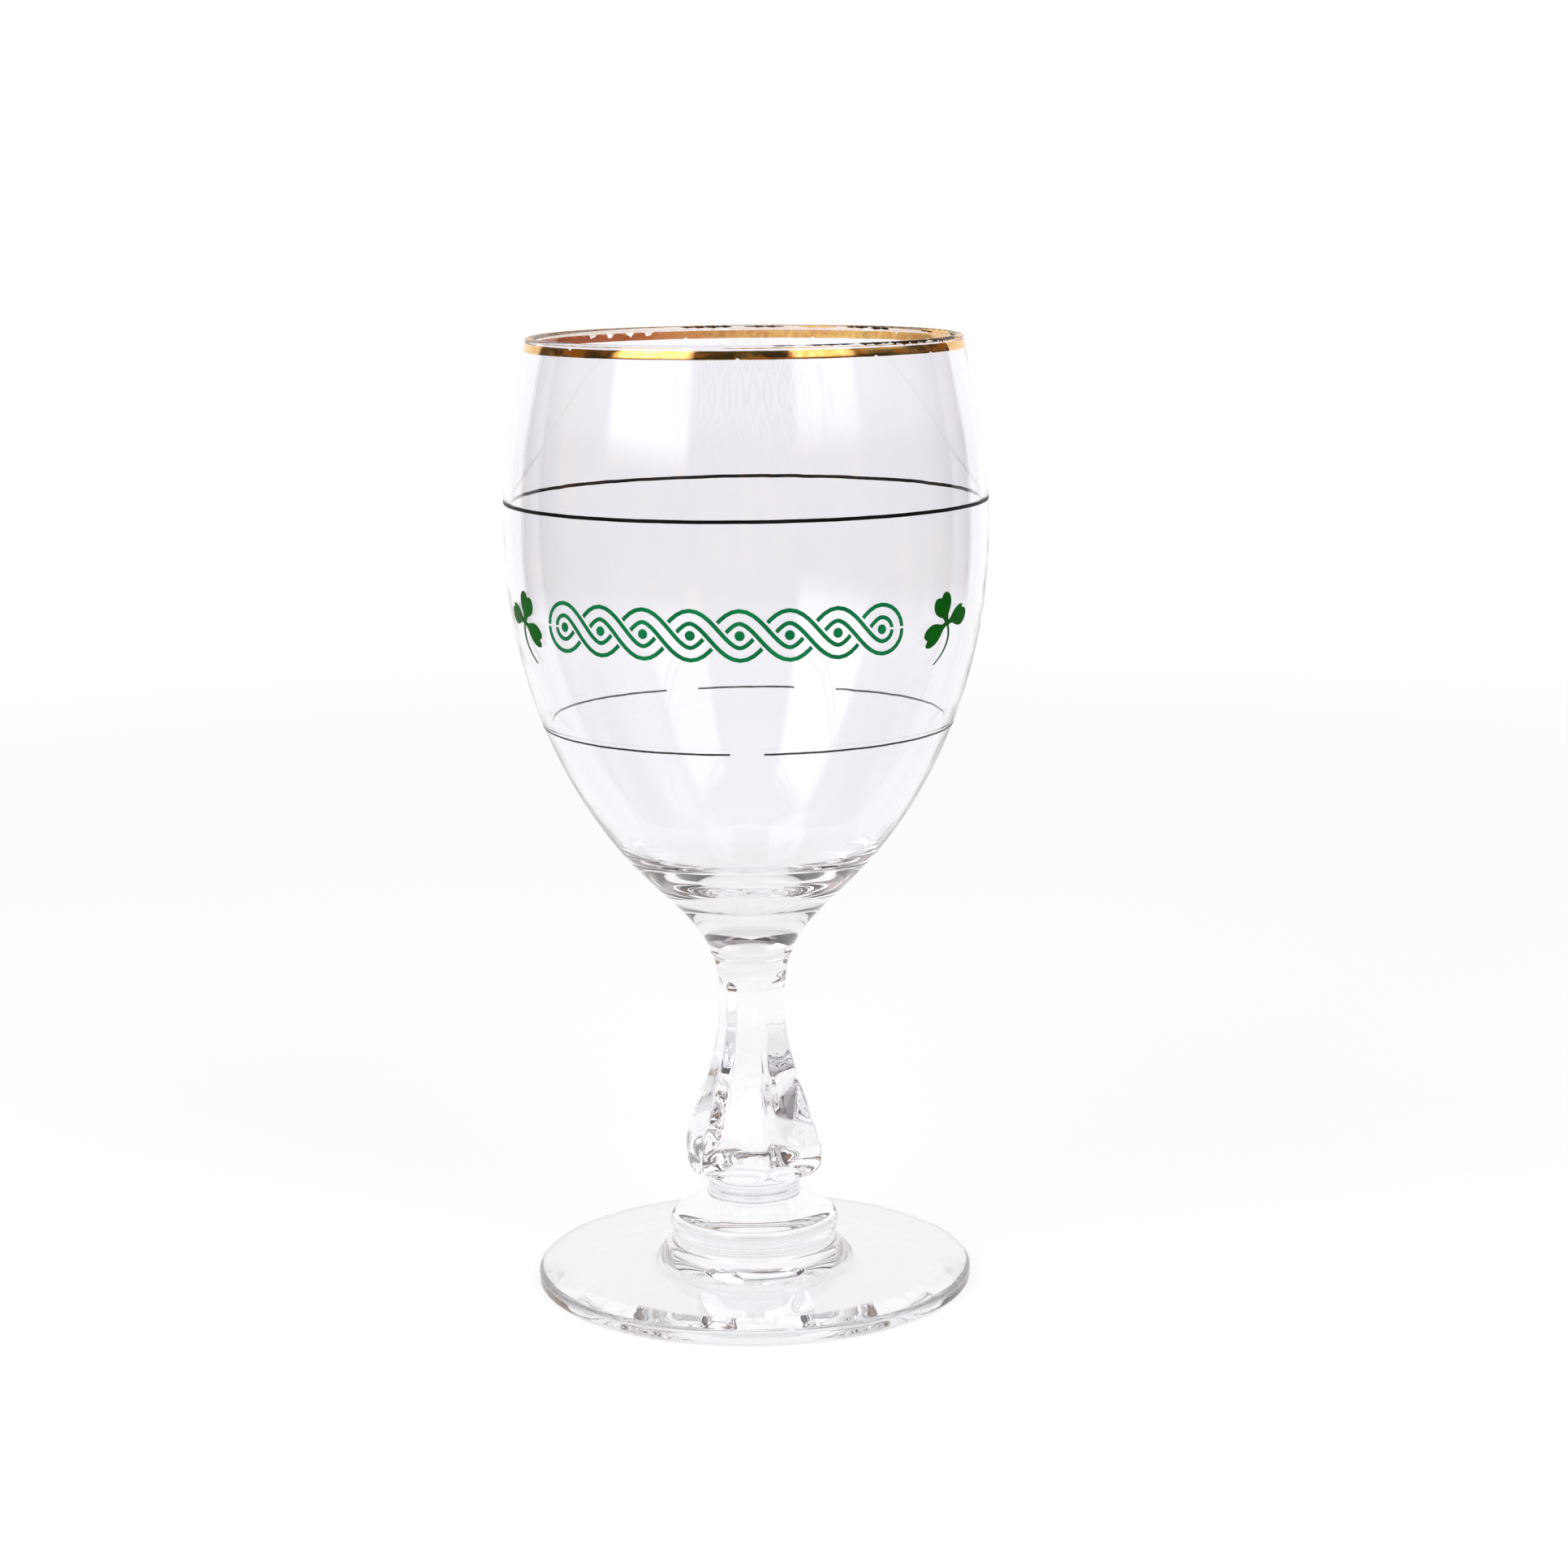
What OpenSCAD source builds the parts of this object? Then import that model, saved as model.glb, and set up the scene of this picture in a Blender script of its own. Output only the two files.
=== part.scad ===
// Stemmed glass for hot coffee with cream: a blown bowl on a pressed six-panel stem
// and a round foot, with a gold band, two hair lines and green prints fired onto the bowl.
// The table is at height zero, the axis of the glass is Z and its printed front faces -Y.

/* [Bowl] */
// Height of the bowl from the weld to the top of the lip
bowl_h = 96.35; // [88:0.05:104]
// How far the lip stands in from the largest radius
lip_inset = 3.95; // [2:0.05:6]
// Lean of the wall towards the axis at the lip, in degrees
lip_lean = 11.7; // [6:0.1:16]
// Wall of the lip
lip_wall = 1.1; // [0.8:0.05:1.6]
// Largest outer radius
belly_r = 37.45; // [36:0.05:40]
// Height of the largest radius above the weld
belly_up = 66.05; // [60:0.05:72]
// Wall at the largest radius
belly_wall = 1.1; // [0.8:0.05:1.6]
// Outer radius where the rounded bowl turns into its flared neck
turn_r = 15.55; // [14:0.05:17]
// Height of that turn above the weld
turn_up = 11.05; // [9:0.05:13]
// Lean of the wall away from the axis at that turn, in degrees
turn_lean = 45.9; // [40:0.1:52]
// Wall where the rounded floor meets it, from where it thins steadily towards the largest radius
floor_wall = 1.5; // [1.1:0.05:2.2]
// Glass between the weld and the middle of the bowl's floor
floor_t = 11.5; // [10.5:0.05:13]

/* [Weld between bowl and stem] */
// Radius of the neck at the weld
weld_r = 6.51; // [6:0.01:7.2]
// Lean of the neck away from the axis at the weld, in degrees
weld_lean = 21; // [12:0.5:30]
// Height of the fine bead that the weld left round the neck
bead_h = 0.9; // [0.5:0.05:1.4]
// How far that bead stands proud
bead_proud = 0.15; // [0.05:0.01:0.3]

/* [Stem] */
// Height of the stem from the foot to the weld
stem_h = 39.85; // [36:0.05:44]
// Number of pressed panels, an even number
panel_count = 6; // [6:2:8]
// Turn of the panels against the printed front, in degrees
panel_turn = 19.5; // [0:0.5:60]
// Radius of the round neck above the panels
neck_r = 5.46; // [5.2:0.01:5.8]
// Height of the round neck's narrowest ring above the foot
neck_up = 33.5; // [32.5:0.05:34.5]
// Height above the foot where the panels have run out into the neck
run_out_up = 36.4; // [35.8:0.05:37]
// Axis to panel where the panels run out
run_out_a = 5.95; // [5.8:0.01:6.2]
// Lean of a panel away from the axis where it runs out, in degrees
run_out_lean = 48; // [40:1:55]
// Axis to panel at the narrowest part of the stem
waist_a = 4.82; // [4.6:0.01:5]
// Height of the narrowest part above the foot
waist_up = 30.5; // [29:0.05:31.5]
// Axis to panel at the widest part of the baluster
bulge_a = 9.97; // [9:0.01:11]
// Height of the widest part above the foot
bulge_up = 7.4; // [6.8:0.05:8.5]
// How much the corners between the panels are blunted
corner_blunt = 0.15; // [0.1:0.01:0.3]
// Lean of the rounded underside where it meets the collar, in degrees from straight down
underside_lean = 86; // [60:1:88]

/* [Collar under the stem] */
// Height of the collar
collar_h = 3.4; // [2.8:0.05:4]
// Radius of the collar where it meets the underside of the baluster
collar_top_r = 6.8; // [6.2:0.05:7.2]
// Radius of the collar where it meets the foot
collar_r = 7.44; // [7:0.01:8]
// Number of fine rings round the collar
ring_count = 3; // [2:1:4]
// How far the fine rings stand proud
ring_proud = 0.16; // [0.08:0.01:0.25]

/* [Foot] */
// Height of the foot from the table to the collar
foot_h = 13.8; // [12.5:0.05:15]
// Outer radius of the foot
foot_r = 34.6; // [32:0.1:38]
// Height of the foot's rim
rim_h = 2.5; // [2.1:0.05:3.2]
// Rounding of the rim's upper edge
rim_round = 0.9; // [0.6:0.05:1.1]
// Rounding of the rim's lower edge
base_round = 0.6; // [0.3:0.05:0.9]
// Radius of the knop's shoulder
shoulder_r = 13.45; // [12.5:0.05:14.5]
// Height of the shoulder above the table
shoulder_z = 9.35; // [8.6:0.05:10]
// Rounding of the shoulder
shoulder_round = 1.8; // [0.6:0.05:2.4]
// Radius where the cove under the shoulder runs into the disc
cove_r = 18; // [16.5:0.1:20]
// Height of the disc where the cove runs into it
cove_z = 4.4; // [4:0.05:5.2]
// Width of the flat ring that the glass rests on
rest_w = 3.4; // [2:0.1:5]
// Rise of the hollow under the foot
hollow_h = 1.8; // [1:0.1:2.4]

/* [Gold band] */
// Glass left bare between the top of the lip and the gold
gold_drop = 0.75; // [0.7:0.05:1.5]
// Height of the gold band
gold_h = 1.25; // [0.8:0.05:2]

/* [Hair lines] */
// Height of the upper line above the weld
upper_line_up = 71.45; // [69:0.05:74]
// Thickness of the upper line
upper_line_w = 0.55; // [0.3:0.05:0.8]
// Height of the lower line above the weld
lower_line_up = 36.65; // [34:0.05:39]
// Thickness of the lower line
lower_line_w = 0.3; // [0.2:0.05:0.5]

/* [Green prints] */
// Height of the middle of the prints above the weld
print_up = 54.9; // [53:0.05:57]
// Distance between two crossings of the plait, along the bowl
plait_pitch = 7.3; // [6.5:0.05:8]
// Number of crossings of the plait
plait_count = 7; // [5:2:9]
// Reach of a strand's middle above and below the plait's middle
plait_reach = 2.75; // [2.4:0.05:3.1]
// Width of a strand
strand_w = 2.5; // [2:0.05:2.8]
// Width of the green line along each edge of a strand
strand_line = 0.62; // [0.4:0.02:0.8]
// Gap left clear on both sides of the strand that passes over
cross_gap = 0.35; // [0.2:0.05:0.5]
// Radius of the dot in each eye of the plait
eye_r = 0.75; // [0.5:0.05:0.9]
// Distance along the bowl from the plait's end to the middle of the left shamrock
left_gap = 7.85; // [7:0.05:11]
// Distance along the bowl from the plait's end to the middle of the right shamrock
right_gap = 9.85; // [7:0.05:11]
// How far the shamrocks sit below the middle of the plait
shamrock_drop = 0.45; // [0:0.05:1.5]
// Length of a shamrock leaf
leaf_l = 5.3; // [4.6:0.1:5.8]
// Height of the stalk from its end to the leaves
stalk_h = 6.15; // [5:0.05:7]
// Sideways reach of the stalk's end
stalk_reach = 1.95; // [1:0.05:3]
// Thickness of the stalk at the leaves
stalk_w = 0.32; // [0.2:0.02:0.5]

/* [Fired layers] */
// Thickness of the gold, the lines and the prints
layer_t = 0.12; // [0.08:0.01:0.2]
// Clearance between the glass and what is fired onto it
layer_seat = 0.02; // [0.01:0.005:0.05]

/* [Hidden] */
$fn = 120;

weld_z = foot_h + stem_h;
lip_z = weld_z + bowl_h;
belly_z = weld_z + belly_up;
print_z = weld_z + print_up;
overrun = 1;

// Straight pulls at the two ends of each curve, as shares of the distance between its ends
neck_pull_shares = [0.30, 0.39];
flare_pull_shares = [0.306, 0.415];
body_pull_shares = [0.32, 0.355];
lip_pull_shares = [0.43, 0.40];
floor_pull_shares = [0.50, 0.25];
run_out_pull_shares = [0.40, 0.25];
panel_pull_shares = [0.395, 0.169];
underside_pull_shares = [0.55, 0.55];
cove_pull_shares = [0.50, 0.55];
hollow_pull_shares = [0.40, 0.40];

// Directions of travel are angles from straight up: 0 is up, 90 outwards, 180 down
up = 0;
outwards = 90;
down = 180;
inwards = 270;
function travel(angle, reach) = [reach * sin(angle), reach * cos(angle)];

// Smooth curve from a to b that leaves and arrives in given directions, or the rest of it from a share on
function curve(a, leave, b, arrive, pull_shares, steps, from_share = 0) =
    let (d = norm(b - a),
         p = a + travel(leave, d * pull_shares[0]),
         q = b - travel(arrive, d * pull_shares[1]))
    [for (i = [0 : steps]) let (t = from_share + (1 - from_share) * i / steps, s = 1 - t)
        s * s * s * a + 3 * s * s * t * p + 3 * s * t * t * q + t * t * t * b];

// Points of a round edge about a centre, angles counted from outwards towards up
function round_edge(centre, radius, from, to, steps) =
    [for (i = [0 : steps]) let (a = from + (to - from) * i / steps)
        centre + radius * [cos(a), sin(a)]];

function without_first(points) = [for (i = [1 : len(points) - 1]) points[i]];
function moved(points, shift) = [for (p = points) p + shift];

// Outside of the bowl from the weld to the lip, as radius and height
lip_r = belly_r - lip_inset;
lip_round = lip_wall / 2;
lip_centre = [lip_r - lip_round * cos(lip_lean), lip_z - lip_round];
function body_outside(steps, from_share = 0) =
    curve([turn_r, weld_z + turn_up], turn_lean, [belly_r, belly_z], up, body_pull_shares, steps, from_share);
bowl_outside = concat(
    curve([weld_r, weld_z], weld_lean, [turn_r, weld_z + turn_up], turn_lean, flare_pull_shares, 8),
    without_first(body_outside(18)),
    without_first(curve([belly_r, belly_z], up, lip_centre + lip_round * [cos(lip_lean), sin(lip_lean)],
                        -lip_lean, lip_pull_shares, 9)));

// Inside of the body above the floor: the outside, from this share of its way on, moved inwards by a wall
// that thins upwards by a power of the way left
floor_meets_share = 0.1556;
thinning_power = 2;
body_inside = let (last = 16, line = body_outside(last, floor_meets_share))
    [for (i = [0 : last])
        let (along = i == last ? travel(up, 1) : line[i + 1] - line[max(i - 1, 0)],
             way = along / norm(along),
             wall = belly_wall + (floor_wall - belly_wall) * pow(1 - i / last, thinning_power))
        line[i] - wall * [way[1], -way[0]]];

// Inside of the bowl from the middle of its floor to the lip
body_start = body_inside[1] - body_inside[0];
bowl_inside = concat(
    curve([0, weld_z + floor_t], outwards, body_inside[0], atan2(body_start[0], body_start[1]),
          floor_pull_shares, 11),
    without_first(body_inside),
    without_first(curve([belly_r - belly_wall, belly_z], up,
                        lip_centre - lip_round * [cos(lip_lean), sin(lip_lean)],
                        -lip_lean, lip_pull_shares, 9)));

module bowl() {
    color([0.88, 0.92, 0.93, 0.45])
    rotate_extrude()
    polygon(concat(
        [[0, weld_z]],
        bowl_outside,
        round_edge(lip_centre, lip_round, lip_lean + 20, lip_lean + 160, 7),
        [for (i = [len(bowl_inside) - 1 : -1 : 0]) bowl_inside[i]]));
}

// Distance from the axis to a panel down the baluster, from the waist to its widest part
waist = [waist_a, foot_h + waist_up];
bulge = [bulge_a, foot_h + bulge_up];
panel_curve = curve(waist, down, bulge, down, panel_pull_shares, 14);
// The panels run out upwards into the round neck
run_out_curve = curve([run_out_a, foot_h + run_out_up], down + run_out_lean,
                      waist, down, run_out_pull_shares, 8);

function panel_side() = concat(
    [[weld_r + overrun, weld_z + overrun], [run_out_a + overrun, foot_h + run_out_up + overrun]],
    run_out_curve,
    without_first(panel_curve),
    [[bulge_a, foot_h - overrun]]);

// A bar with the side view of two opposite panels, long enough to hold the whole stem
module panel_pair() {
    side = panel_side();
    rotate([90, 0, 0])
    linear_extrude(4 * bulge_a, center = true)
    polygon(concat(side, [for (i = [len(side) - 1 : -1 : 0]) [-side[i][0], side[i][1]]]));
}

// Round blank of the stem: weld bead, neck, softened corners, underside and ringed collar
corner_share = 1 / cos(180 / panel_count);
function corner_line(points) = [for (p = points) [p[0] * corner_share - corner_blunt, p[1]]];
function bead() = [for (i = [0 : 6]) let (t = i / 6)
    [weld_r - bead_h * t * tan(weld_lean) + bead_proud * sin(180 * t), weld_z - bead_h * t]];
function collar_rings() = let (steps = 6 * ring_count)
    [for (i = [0 : steps]) let (t = i / steps)
        [collar_top_r + (collar_r - collar_top_r) * t + ring_proud * abs(sin(180 * ring_count * t)),
         foot_h + collar_h * (1 - t)]];

module stem_blank() {
    bead_end = [weld_r - bead_h * tan(weld_lean), weld_z - bead_h];
    corner = corner_line(panel_curve);
    rotate_extrude()
    polygon(concat(
        [[0, weld_z]],
        bead(),
        without_first(curve(bead_end, down + weld_lean, [neck_r, foot_h + neck_up], down, neck_pull_shares, 6)),
        corner,
        without_first(curve(corner[len(corner) - 1], down, [collar_top_r, foot_h + collar_h],
                            down + underside_lean, underside_pull_shares, 9)),
        without_first(collar_rings()),
        [[0, foot_h]]));
}

module stem() {
    color([0.86, 0.90, 0.92, 0.6])
    intersection() {
        stem_blank();
        panel_prism();
    }
}

// What all the pairs of panels leave between them
module panel_prism() {
    intersection_for(i = [0 : panel_count / 2 - 1])
    rotate([0, 0, panel_turn + (i + 0.5) * 360 / panel_count])
    panel_pair();
}

// Foot: coned knop, rounded shoulder, cove, disc, rounded rim, resting ring and hollow underside
module foot() {
    disc_fall = atan((cove_z - rim_h) / (foot_r - cove_r));
    shoulder_c = [shoulder_r - shoulder_round, shoulder_z];
    // The cone runs into the rounded shoulder without an edge
    to_shoulder = shoulder_c - [collar_r, foot_h];
    cone_fall = atan2(-to_shoulder[1], to_shoulder[0]) - asin(shoulder_round / norm(to_shoulder));
    shoulder_low = shoulder_c + shoulder_round * [cos(20), -sin(20)];
    color([0.86, 0.90, 0.92, 0.6])
    rotate_extrude()
    polygon(concat(
        [[0, foot_h], [collar_r, foot_h]],
        round_edge(shoulder_c, shoulder_round, 90 - cone_fall, -20, 9),
        without_first(curve(shoulder_low, down + 20, [cove_r, cove_z], outwards + disc_fall,
                            cove_pull_shares, 12)),
        round_edge([foot_r - rim_round, rim_h - rim_round], rim_round, 90 - disc_fall, 0, 6),
        round_edge([foot_r - base_round, base_round], base_round, 0, -90, 5),
        curve([foot_r - base_round - rest_w, 0], inwards + 10, [0, hollow_h], inwards,
              hollow_pull_shares, 10)));
}

// Part of the bowl's outside between two heights, both ends included
function outside_at(z) = lookup(z, [for (p = bowl_outside) [p[1], p[0]]]);
function outside_between(low, high) = concat(
    [[outside_at(low), low]],
    [for (p = bowl_outside) if (p[1] > low && p[1] < high) p],
    [[outside_at(high), high]]);

// A fired layer on the bowl between two heights, over a turn counted from the front towards +X
module fired_layer(low, high, from, to) {
    glass_side = moved(outside_between(low, high), [layer_seat, 0]);
    air_side = moved(glass_side, [layer_t, 0]);
    rotate([0, 0, from - 90])
    rotate_extrude(angle = to - from)
    polygon(concat(glass_side, [for (i = [len(air_side) - 1 : -1 : 0]) air_side[i]]));
}

module gold_rim() {
    high = lip_z - gold_drop;
    color([0.80, 0.58, 0.16])
    fired_layer(high - gold_h, high, 0, 360);
}

module upper_line() {
    middle = weld_z + upper_line_up;
    color([0.05, 0.06, 0.06])
    fired_layer(middle - upper_line_w / 2, middle + upper_line_w / 2, 0, 360);
}

// The lower line is worn through in three places, so it is three separate arcs
lower_line_arcs = [[11.5, 160], [173.5, 203], [213, 362.5]];

module lower_line() {
    middle = weld_z + lower_line_up;
    color([0.05, 0.06, 0.06])
    for (arc = lower_line_arcs)
        fired_layer(middle - lower_line_w / 2, middle + lower_line_w / 2, arc[0], arc[1]);
}

// A flat drawing laid on the bowl at a height and a turn from the front, cut from the layer between two turns
module laid_on_bowl(middle_z, turn, from, to, half_height) {
    intersection() {
        fired_layer(middle_z - half_height, middle_z + half_height, from, to);
        rotate([0, 0, turn])
        translate([0, 0, middle_z])
        rotate([90, 0, 0])
        linear_extrude(belly_r + layer_seat + layer_t + overrun)
        children();
    }
}

// The plait is drawn flat along its length, and wrapped so that its pitch stays the same round the bowl
function wrapped(points) = let (r = outside_at(print_z))
    [for (p = points) [r * sin(p[0] / r * 180 / PI), p[1]]];

// Edge of a strand: a sine between its ends, shifted sideways
strand_steps = 10;
function strand_point(t, side, shift) =
    let (slope = side * plait_reach * PI / plait_pitch * cos(180 * t))
    [plait_pitch * t, side * plait_reach * sin(180 * t)] + shift * [-slope, 1] / norm([slope, 1]);
function strand_part(from, to, side, shift) =
    let (steps = ceil((to - from) * strand_steps))
    [for (i = [0 : steps]) strand_point(from + (to - from) * i / steps, side, shift)];

// Each end turns in by a quarter ring round the last eye and stops just short of the other strand
end_t = plait_count / 2;
function end_ring(direction, side, shift) =
    let (above = side * sin(180 * end_t * direction),
         radius = plait_reach + above * shift,
         last = acos(cross_gap / 2 / radius),
         steps = 6)
    [for (i = [1 : steps]) let (a = last * i / steps)
        [direction * (end_t * plait_pitch + radius * sin(a)), above * radius * cos(a)]];
function backwards(points) = [for (i = [len(points) - 1 : -1 : 0]) points[i]];
function strand_edge(side, shift) = concat(
    backwards(end_ring(-1, side, shift)),
    strand_part(-end_t, end_t, side, shift),
    end_ring(1, side, shift));

// The two green edge lines of a strand, cleared where the other strand passes over it
module strand(side) {
    half = strand_w / 2;
    clear = half + cross_gap;
    difference() {
        for (low = [-half, half - strand_line])
            polygon(wrapped(concat(strand_edge(side, low),
                                   backwards(strand_edge(side, low + strand_line)))));
        for (i = [side > 0 ? 1 : 0 : 2 : plait_count - 1]) {
            t = i - (plait_count - 1) / 2;
            polygon(wrapped(concat(strand_part(t - 0.3, t + 0.3, -side, -clear),
                                   backwards(strand_part(t - 0.3, t + 0.3, -side, clear)))));
        }
    }
}

module plait_eyes() {
    points = 18;
    for (i = [0 : plait_count])
        polygon(wrapped([for (k = [0 : points - 1])
            [(i - end_t) * plait_pitch, 0] + eye_r * [cos(360 * k / points), sin(360 * k / points)]]));
}

module plait_print() {
    reach = plait_reach + strand_w / 2 + overrun / 2;
    half_turn = (end_t * plait_pitch + reach) / outside_at(print_z) * 180 / PI;
    color([0.0, 0.42, 0.16])
    laid_on_bowl(print_z, 0, -half_turn, half_turn, reach) {
        strand(1);
        strand(-1);
        plait_eyes();
    }
}

// Half of a leaf from its narrow neck round the lobe to the notch, as shares of the half's length and width
half_leaf_shares = [[0.04, 0.17], [0.15, 0.22], [0.26, 0.34], [0.38, 0.64], [0.55, 0.93],
                    [0.74, 1], [0.9, 0.86], [0.99, 0.58], [0.97, 0.26]];
// How far a leaf starts behind the point where the leaves meet, as a share of leaf_l
leaf_back_share = 0.06;
// Height of the notch between the lobes as a share of the halves' mean length
notch_share = 0.9;
function leaf_corners(left_l, left_w, right_l, right_w) = concat(
    [[0, -leaf_back_share * leaf_l]],
    [for (p = half_leaf_shares) [-p[1] * left_w, p[0] * left_l]],
    [[0, notch_share * (left_l + right_l) / 2]],
    backwards([for (p = half_leaf_shares) [p[1] * right_w, p[0] * right_l]]));

// Closed smooth line through points: between each two, a cubic that follows the points before and after
function smooth(points, steps) = let (n = len(points))
    [for (i = [0 : n - 1], k = [0 : steps - 1])
        let (t = k / steps,
             a = points[(i + n - 1) % n], b = points[i], c = points[(i + 1) % n], d = points[(i + 2) % n])
        b + t / 2 * ((c - a) + t * ((2 * a - 5 * b + 4 * c - d) + t * (3 * b - a - 3 * c + d)))];

// Turn of each leaf, then the length and width of its left half and of its right half as shares of leaf_l
leaf_shares = [[27, 0.92, 0.39, 0.91, 0.38], [-64, 0.88, 0.17, 1.02, 0.45], [118, 1.05, 0.27, 1.02, 0.34]];

// The colour spreads by a hair past the drawn outline
colour_spread = 0.02;

module shamrock() {
    offset(delta = colour_spread) {
        for (l = leaf_shares)
            rotate(l[0])
            polygon(smooth(leaf_corners(leaf_l * l[1], leaf_l * l[2], leaf_l * l[3], leaf_l * l[4]), 3));
        stalk();
    }
}

// Thin stalk that bows one way, ends on the other side and tapers to its end
end_taper_share = 0.5;
stalk_bow_share = 2.4;
module stalk() {
    steps = 10;
    middle = concat([[0, 2 * stalk_w]], [for (i = [1 : steps]) let (t = i / steps)
        [stalk_reach * t * (stalk_bow_share - (1 + stalk_bow_share) * t), -stalk_h * t]]);
    half = [for (i = [0 : steps]) stalk_w / 2 * (1 - (1 - end_taper_share) * i / steps)];
    polygon(concat(
        [for (i = [0 : steps]) middle[i] + [half[i], 0]],
        [for (i = [steps : -1 : 0]) middle[i] - [half[i], 0]]));
}

module shamrock_print(side, gap) {
    plait_half = end_t * plait_pitch + plait_reach + strand_w / 2;
    middle_z = print_z - shamrock_drop;
    turn = side * (plait_half + gap) / outside_at(middle_z) * 180 / PI;
    half_turn = 1.3 * leaf_l / outside_at(middle_z) * 180 / PI;
    color([0.0, 0.36, 0.12])
    laid_on_bowl(middle_z, turn, turn - half_turn, turn + half_turn, max(stalk_h, leaf_l) + overrun / 2)
    mirror([side > 0 ? 0 : 1, 0])
    shamrock();
}

module shamrock_left() {
    shamrock_print(-1, left_gap);
}

module shamrock_right() {
    shamrock_print(1, right_gap);
}

bowl();
stem();
foot();
gold_rim();
upper_line();
lower_line();
plait_print();
shamrock_left();
shamrock_right();
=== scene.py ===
# %% [markdown]
# # A stemmed glass for hot coffee and cream
# The solids of the glass come packed from the CAD model: a bowl, a six-panel stem, a foot, a gold
# band, two hair lines and green prints. This lesson dresses them. Clear glass is the hardest thing
# to dress, because it has no colour of its own: what we see is light bent and mirrored by its
# skins, so the skins must be smooth. The three glass pieces are therefore drawn again here from
# the same curves, finely.

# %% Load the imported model
import math
import bpy
import numpy as np
from mathutils import Matrix


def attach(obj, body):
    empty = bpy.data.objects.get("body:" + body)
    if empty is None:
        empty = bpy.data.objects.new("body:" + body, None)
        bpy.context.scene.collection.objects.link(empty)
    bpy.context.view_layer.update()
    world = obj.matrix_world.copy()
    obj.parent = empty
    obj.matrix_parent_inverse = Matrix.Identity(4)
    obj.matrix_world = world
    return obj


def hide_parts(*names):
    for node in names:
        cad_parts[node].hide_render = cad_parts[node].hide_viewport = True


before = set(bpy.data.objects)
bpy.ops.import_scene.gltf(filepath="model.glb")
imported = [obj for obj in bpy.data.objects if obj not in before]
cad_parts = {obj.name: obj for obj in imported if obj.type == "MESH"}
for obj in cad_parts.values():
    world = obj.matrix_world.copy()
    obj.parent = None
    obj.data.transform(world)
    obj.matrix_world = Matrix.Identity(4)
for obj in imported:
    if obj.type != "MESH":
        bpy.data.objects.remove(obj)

scene = bpy.context.scene
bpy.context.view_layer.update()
print("nodes of the CAD model:", sorted(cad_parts))

# %% [markdown]
# ## The curves of the glass
# A glass blower's outline is a chain of smooth bends. Each bend leaves one point in a known
# direction and arrives at the next in another, so a cubic Bezier curve fits it well, and a few
# numbers per bend are easy to change. Directions are angles from straight up: 0 is up, 90 is
# outwards from the axis, 180 is down. Points are (radius, height) in millimetres. The sizes are
# those of the CAD model, unless a cell says that only the skin has a detail.

# %% One bend of an outline
UP, OUTWARDS, DOWN, INWARDS = 0.0, 90.0, 180.0, 270.0

def way(angle):
    """Unit step in a direction: its sine goes outwards and its cosine goes up."""
    return np.array([math.sin(math.radians(angle)), math.cos(math.radians(angle))])

def bend(start, leave, end, arrive, pulls, count):
    """Cubic Bezier curve: (1-t)^3 start + 3(1-t)^2 t first + 3(1-t) t^2 second + t^3 end. Each end
    pulls along its direction, by a share of the distance between the ends."""
    start, end = np.array(start, float), np.array(end, float)
    reach = np.linalg.norm(end - start)
    first = start + way(leave) * reach * pulls[0]
    second = end - way(arrive) * reach * pulls[1]
    t = np.linspace(0, 1, count + 1)[:, None]
    return ((1 - t) ** 3 * start + 3 * (1 - t) ** 2 * t * first
            + 3 * (1 - t) * t ** 2 * second + t ** 3 * end)

print("middle of a quarter bend:", bend((0, 0), UP, (1, 1), OUTWARDS, (0.39, 0.39), 2)[1])

# %% Arcs and chains of bends
SAME_POINT = 1e-6

def rounded(centre, radius, start, end, count):
    """Arc: centre + radius (cos a, sin a), with the angle a counted from outwards towards up."""
    a = np.radians(np.linspace(start, end, count + 1))[:, None]
    return np.array(centre) + radius * np.hstack([np.cos(a), np.sin(a)])

def chain(*bends):
    """Puts bends end to end, and drops a point that repeats the one before it."""
    points = np.vstack(bends)
    apart = np.linalg.norm(np.diff(points, axis=0), axis=1) > SAME_POINT
    return points[np.append(True, apart)]

print("quarter of a circle:", rounded((0, 0), 1, 0, 90, 2).round(2).tolist())

# %% [markdown]
# ## From curves to skins
# A skin is a grid of points: rows follow the outline and columns go round the axis. A modifier
# could turn an outline too, but numpy works out the whole grid at once, with a radius that may
# differ at each turn, and foreach_set puts it into the mesh. The signed volume tells whether the
# faces look outwards: if it is negative, every face is turned over.

# %% Grids turned round the axis
MM = 0.001
COLUMNS = 288
turn = np.arange(COLUMNS) * 2 * np.pi / COLUMNS

def revolve(profile):
    """Grid of an outline turned round the axis: x = r sin(turn), y = -r cos(turn), z = height."""
    r, z = profile[:, :1], profile[:, 1:]
    return np.stack([r * np.sin(turn), -r * np.cos(turn), z + 0 * turn], -1)

print("%d columns, %.2f degrees apart" % (COLUMNS, 360 / COLUMNS))

# %% Volume inside a skin
def triangles(faces):
    """Corner numbers of the triangles that a list of quad and triangle arrays holds."""
    halves = [f[:, [0, 1, 2]] for f in faces] + [f[:, [0, 2, 3]] for f in faces if f.shape[1] == 4]
    return np.vstack(halves)

def volume(points, faces):
    """Signed volume: a sixth of the sum, over the triangles, of a . (b x c)."""
    a, b, c = (points[triangles(faces)[:, k]] for k in range(3))
    return np.einsum("ij,ij->", a, np.cross(b, c)) / 6

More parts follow.
